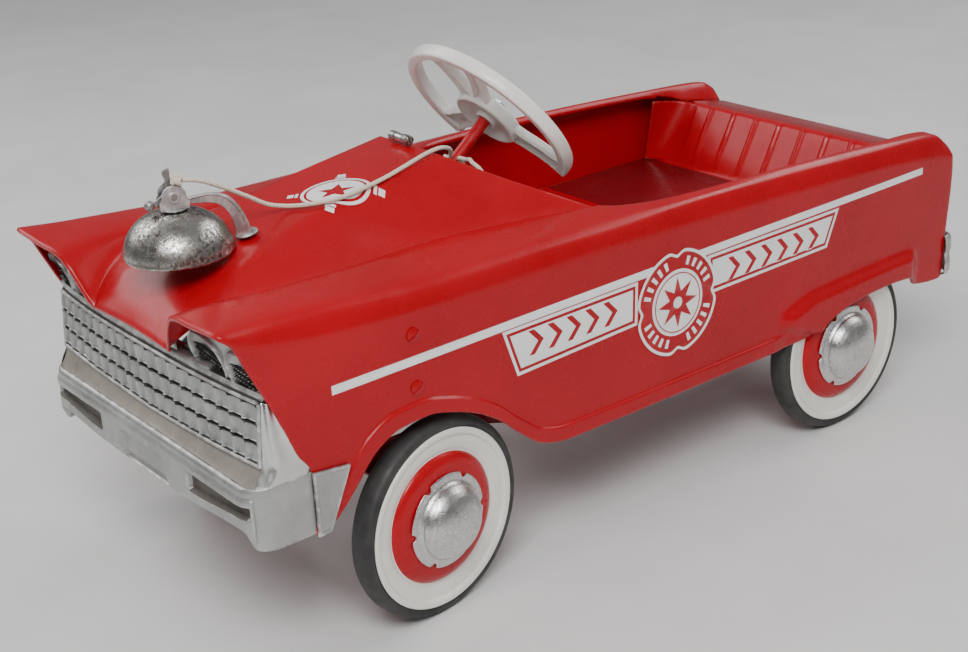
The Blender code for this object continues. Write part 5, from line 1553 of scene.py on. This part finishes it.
def add_bell_bracket():
    """Flat stamped strap from the foot up and over the gong, its foot flange and the lever's ears."""
    top = BELL_RIM_Z + BELL_H + 0.0025
    foot = Vector((BELL_FOOT.x, BELL_FOOT.y, 0))
    outline = []
    for line in (STRAP_OUTER, STRAP_INNER):
        points = [Vector((run, z, 0)) for run, z in line]
        outline += [(p.x, p.y) for p in spline_points(points, [4] * (len(points) - 1))]
    plate("bell_strap", outline, foot + ACROSS * 0.0050, TOWARDS, UP, 0.0017, SILVER, "chassis",
          ["bell_bracket"])
    border = [foot + TOWARDS * (run + 0.0016) + UP * (z - 0.0014) + ACROSS * 0.0060
              for run, z in STRAP_OUTER[1:]]
    tube("bell_strap_border", spline_points(border, [5] * 5), 0.0010, SILVER)
    flange = rounded([(0.0, 0.0), (0.0098, 0.0), (0.0104, 0.0009), (0.0098, 0.0019), (0.0, 0.0021)], 0.0005,
                     2, closed=False)
    turned("bell_foot_flange", flange, SILVER, foot + UP * 0.3462, FOOT_AXIS, "chassis", 48)
    pivot = BELL_AXIS + UP * (top + 0.0095)
    cap = rounded([(0.0, 0.0), (0.0125, 0.0), (0.0125, 0.0012), (0.0, 0.0016)], 0.0004, 2, closed=False)
    turned("bell_top_washer", cap, SILVER, BELL_AXIS + UP * (BELL_RIM_Z + BELL_H + 0.0002), UP, "chassis", 40)
    ear = [(-0.0125, -0.0112), (0.0125, -0.0112), (0.0128, -0.0040)]
    for k in range(9):
        turn = math.radians(-10 + 200 * k / 8)
        ear.append((0.0108 * math.cos(turn), 0.0010 + 0.0098 * math.sin(turn)))
    ear.append((-0.0128, -0.0040))
    for side, word in SIDES:
        middle = pivot + ACROSS * (side * 0.0080)
        plate(f"bell_ear_{word}", ear, middle, TOWARDS, UP, 0.0018, SILVER, "chassis")
        ring = rounded([(0.0026, 0.0), (0.0056, 0.0), (0.0048, 0.0014), (0.0026, 0.0014)], 0.0004, 2)
        turned(f"bell_ear_boss_{word}", ring, SILVER, middle + ACROSS * (side * 0.0007), ACROSS * side,
               "chassis", 24)


def plate(name, outline, middle, first, second, thickness, mat, body, replaces=()):
    """Flat plate from an outline in the plane of two directions, with soft edges."""
    third = first.cross(second)
    count = len(outline)
    verts = []
    for depth in (-0.5, 0.5):
        verts += [middle + first * a + second * b + third * (thickness * depth) for a, b in outline]
    faces = [tuple(range(count)), tuple(range(count, 2 * count))]
    for k in range(count):
        m = (k + 1) % count
        faces.append((k, m, count + m, count + k))
    obj = publish(name, mesh_of(name, verts, faces), mat, body, 30, replaces)
    return bevelled(obj, min(0.0004, thickness * 0.3), 2)


def add_bell_lever():
    """Upright lever with its striker, the rivet it turns on, and the screws that hold the bell."""
    pivot = BELL_AXIS + UP * (BELL_RIM_Z + BELL_H + 0.0120)
    outline = rounded([(0.0045, -0.0050), (0.0110, -0.0062), (0.0170, -0.0078), (0.0182, -0.0046),
                       (0.0110, -0.0004), (0.0055, 0.0035), (0.0046, 0.0110), (0.0048, 0.0150),
                       (0.0064, 0.0185), (0.0058, 0.0225), (0.0, 0.0245), (-0.0058, 0.0225),
                       (-0.0064, 0.0185), (-0.0048, 0.0150),
                       (-0.0040, 0.0), (-0.0042, -0.0040), (0.0, -0.0060)], 0.0020, 4)
    plate("bell_lever_plate", outline, pivot, TOWARDS, UP, 0.0022, STEEL, "bell_lever", ["bell_lever"])
    ball = [(0 if k in (0, 12) else 0.0045 * math.sin(math.pi * k / 12), -0.0045 * math.cos(math.pi * k / 12))
            for k in range(13)]
    turned("bell_striker_head", ball, STEEL, pivot + TOWARDS * 0.0200 - UP * 0.0062, UP, "bell_lever", 28)
    pin = rounded([(0, -0.0094), (0.0030, -0.0094), (0.0030, -0.0082), (0.0019, -0.0082), (0.0019, 0.0082),
                   (0.0030, 0.0082), (0.0030, 0.0094), (0, 0.0094)], 0.0004, 2, closed=False)
    turned("bell_rivet", pin, STEEL, pivot, ACROSS, "chassis", 24, ["bell_pin"])
    slotted_head("bell_strap_screw", BELL_FOOT + UP * 0.3486, FOOT_AXIS, 0.0050, STEEL, "bell_foot_screw")
    stud = rounded([(0, 0), (0.0060, 0), (0.0060, 0.0035), (0.0030, 0.0042), (0.0030, 0.0093), (0, 0.0093)],
                   0.0005, 2, closed=False)
    turned("bell_centre_stud", stud, STEEL, BELL_AXIS + UP * (BELL_RIM_Z + BELL_H - 0.0068), UP, "chassis",
           24, ["bell_stud"])


def slotted_head(name, centre, axis, radius, mat, node):
    """Domed screw head with a slot across it."""
    def slot(turn, r, h):
        across = abs(r * math.sin(turn - 0.6))
        if across < radius * 0.16 and r < radius * 0.97:
            return r, h - 0.0009
        return r, h

    profile = [(0, 0.0)]
    profile += [(radius * 0.98, 0.0), (radius, 0.0004), (radius * 0.98, 0.0010)]
    for k in range(14, 0, -1):
        share = k / 15
        profile.append((radius * share, 0.0010 + 0.0014 * math.cos(share * math.pi / 2)))
    profile.append((0, 0.0015))
    turned(name, profile, mat, centre, axis, "chassis", 96, [node], None, 35, slot)


def add_screws():
    for side, word in SIDES:
        for level, z in (("upper", 0.280), ("lower", 0.2315)):
            x = side_x(SCREW_Y, z) + 0.0001
            slotted_head(f"body_screw_{word}_{level}", at_rel(side * x, SCREW_Y, z), Vector((side, 0, 0)),
                         0.0066, RED, f"side_screw_{word}_{level}")


# ---------------------------------------------------------------- pull cord
CORD_OVER_HOOD = [(0.0180, -0.1290, 0.4052), (0.0178, -0.1120, 0.4005), (0.0172, -0.0900, 0.3890),
                  (0.0165, -0.0680, 0.3755), (0.0163, -0.0480, 0.3630), (0.0200, -0.0300, 0.3578),
                  (0.0330, -0.0200, 0.3594), (0.0450, -0.0050, 0.3618), (0.0505, 0.0150, 0.3640),
                  (0.0503, 0.0480, 0.3688), (0.0474, 0.0690, 0.3718), (0.0430, 0.0900, 0.3748),
                  (0.0395, 0.1105, 0.3780), (0.0375, 0.1260, 0.3790), (0.0290, 0.1420, 0.3745),
                  (0.0170, 0.1560, 0.3660)]
CORD_TAIL = [(0.0220, 0.1700, 0.3550), (0.0340, 0.1650, 0.3585), (0.0450, 0.1600, 0.3585),
             (0.0540, 0.1600, 0.3555), (0.0590, 0.1620, 0.3480), (0.0605, 0.1635, 0.3380),
             (0.0605, 0.1640, 0.3200), (0.0605, 0.1640, 0.3000), (0.0605, 0.1640, 0.2800)]
CORD_R = 0.002
LOOP_Y = 0.172
LOOP_R = 0.006 + CORD_R + 0.0018
LOOP_START, LOOP_END = math.radians(70), math.radians(385)


def cord_route():
    """The route's points, with the turn round the column put in where it is."""
    centre = WHEEL_CENTRE + ALONG * ((LOOP_Y - 0.213) / ALONG.y)
    route = [at_rel(*p) for p in CORD_OVER_HOOD]
    steps = 7
    for k in range(steps + 1):
        share = k / steps
        turn = LOOP_START + (LOOP_END - LOOP_START) * share
        spoke = Vector((math.cos(turn), 0, 0)) + WHEEL_UP * math.sin(turn)
        route.append(centre + spoke * LOOP_R + ALONG * (0.0055 * (share - 0.5)))
    return route + [at_rel(*p) for p in CORD_TAIL]


def add_cord():
    route = cord_route()
    points = spline_points(route, [10] * (len(route) - 1))
    curve = bpy.data.curves.new("cotton_pull_cord", "CURVE")
    curve.dimensions = "3D"
    curve.bevel_depth = CORD_R
    curve.bevel_resolution = 4
    curve.use_fill_caps = True
    spline = curve.splines.new("POLY")
    spline.points.add(len(points) - 1)
    for place, point in zip(spline.points, points):
        place.co = (*point, 1.0)
    curve.materials.append(COTTON)
    cord = bpy.data.objects.new("cotton_pull_cord", curve)
    bpy.context.scene.collection.objects.link(cord)
    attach(cord, "chassis")
    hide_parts("pull_cord")
    start = points[0]
    toward = (points[2] - start).normalized()
    knot_a = knot("cotton_start_knot", start - toward * 0.0054, toward, 0.0034, "cord_knot")
    knot_b = knot("cotton_end_knot", points[-1] - UP * 0.0049, UP, 0.0025, "cord_end_knot")
    length = sum((b - a).length for a, b in zip(points, points[1:]))
    tuple(start)


def knot(name, centre, axis, size, node):
    """Overhand knot: a thick strand wound as a trefoil."""
    first, second, axis = axis_frame(axis)
    points = []
    steps = 72
    for k in range(steps + 1):
        t = TAU * k / steps
        x = math.sin(t) + 2 * math.sin(2 * t)
        y = math.cos(t) - 2 * math.cos(2 * t)
        z = -math.sin(3 * t)
        points.append(centre + (first * x + second * y) * (size * 0.36) + axis * (z * size * 0.75))
    return tube(name, points, size * 0.62, COTTON, sides=12, replaces=[node])


# ---------------------------------------------------------------- other pieces
def add_dash_cap():
    """Plated barrel with a knurled dark band near each end and a bright band in the middle."""
    profile = rounded([(0, 0.0), (0.0038, 0.0), (0.0047, 0.0010), (0.0047, 0.0095), (0.0041, 0.0103),
                       (0.0041, 0.0205), (0.0047, 0.0213), (0.0047, 0.0300), (0.0038, 0.0310), (0, 0.0310)],
                      0.0005, 3, closed=False)
    tint = [0 if 0.0100 < height < 0.0212 else 1 for _, height in profile]
    turned("dash_cap_chrome", profile, [CHROME, BELL_CHROME], at_rel(-0.0245, 0.1175, 0.3822), (1, 0, 0),
           "chassis", 48, ["dash_cap"], tint)


FRAME_LOOKS = {"red": (RED, ["steering_shaft"]), "dark": (DARK_RED, [
    "front_axle_beam", "front_bracket_left", "front_bracket_right", "rail_left", "rail_right",
    "rear_hanger_left", "rear_hanger_right", "upper_cross_brace", "lower_cross_brace",
    "pedal_bracket_left", "pedal_bracket_right", "knuckle_left", "knuckle_right"]),
    "steel": (STEEL, ["axle_bearing_left", "axle_bearing_right", "pedal_pivot_rod", "tie_rod", "rear_axle",
                      "pedal_rod_left", "pedal_rod_right", "pedal_hanger_left", "pedal_hanger_right"]),
    "chrome": (CHROME, ["column_nut"]), "rubber": (TYRE, ["pedal_left", "pedal_right"])}


def dress_frame():
    """Give the carried-over frame pieces their materials."""
    for mat, names in FRAME_LOOKS.values():
        for name in names:
            obj = NODES[name]
            for slot in obj.material_slots:
                slot.material = mat
            if not obj.material_slots:
                obj.data.materials.append(mat)


def add_floor():
    size = 6.0
    verts = [(-size, -size, 0), (size, -size, 0), (size, size, 0), (-size, size, 0)]
    mesh = bpy.data.meshes.new("floor")
    mesh.from_pydata(verts, [], [(0, 1, 2, 3)])
    mesh.materials.append(concrete())
    obj = bpy.data.objects.new("floor", mesh)
    bpy.context.scene.collection.objects.link(obj)
    obj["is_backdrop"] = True


def write_sizes():
    low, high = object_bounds()
    ({"cad": [[float(v) for v in c] for c in CAD_BOX],
               "visual": [[float(v) for v in low], [float(v) for v in high]]})


add_camera()
add_cord()
add_world()
for light in LIGHTS:
    add_light(*light)
add_floor()
body_skin = add_body()
for mark_side, mark_word in SIDES:
    side_marks(mark_side, mark_word)
hood_roundel(body_skin)
add_bumper()
add_grille()
add_front_band()
add_lamp_panels()
add_front_corners()
add_bumper_wings()
add_rear_bumper()
add_seat()
add_seat_corners()
add_rear_panel()
add_wheels()
add_steering_wheel()
add_bell()
add_screws()
add_dash_cap()
dress_frame()
write_sizes()
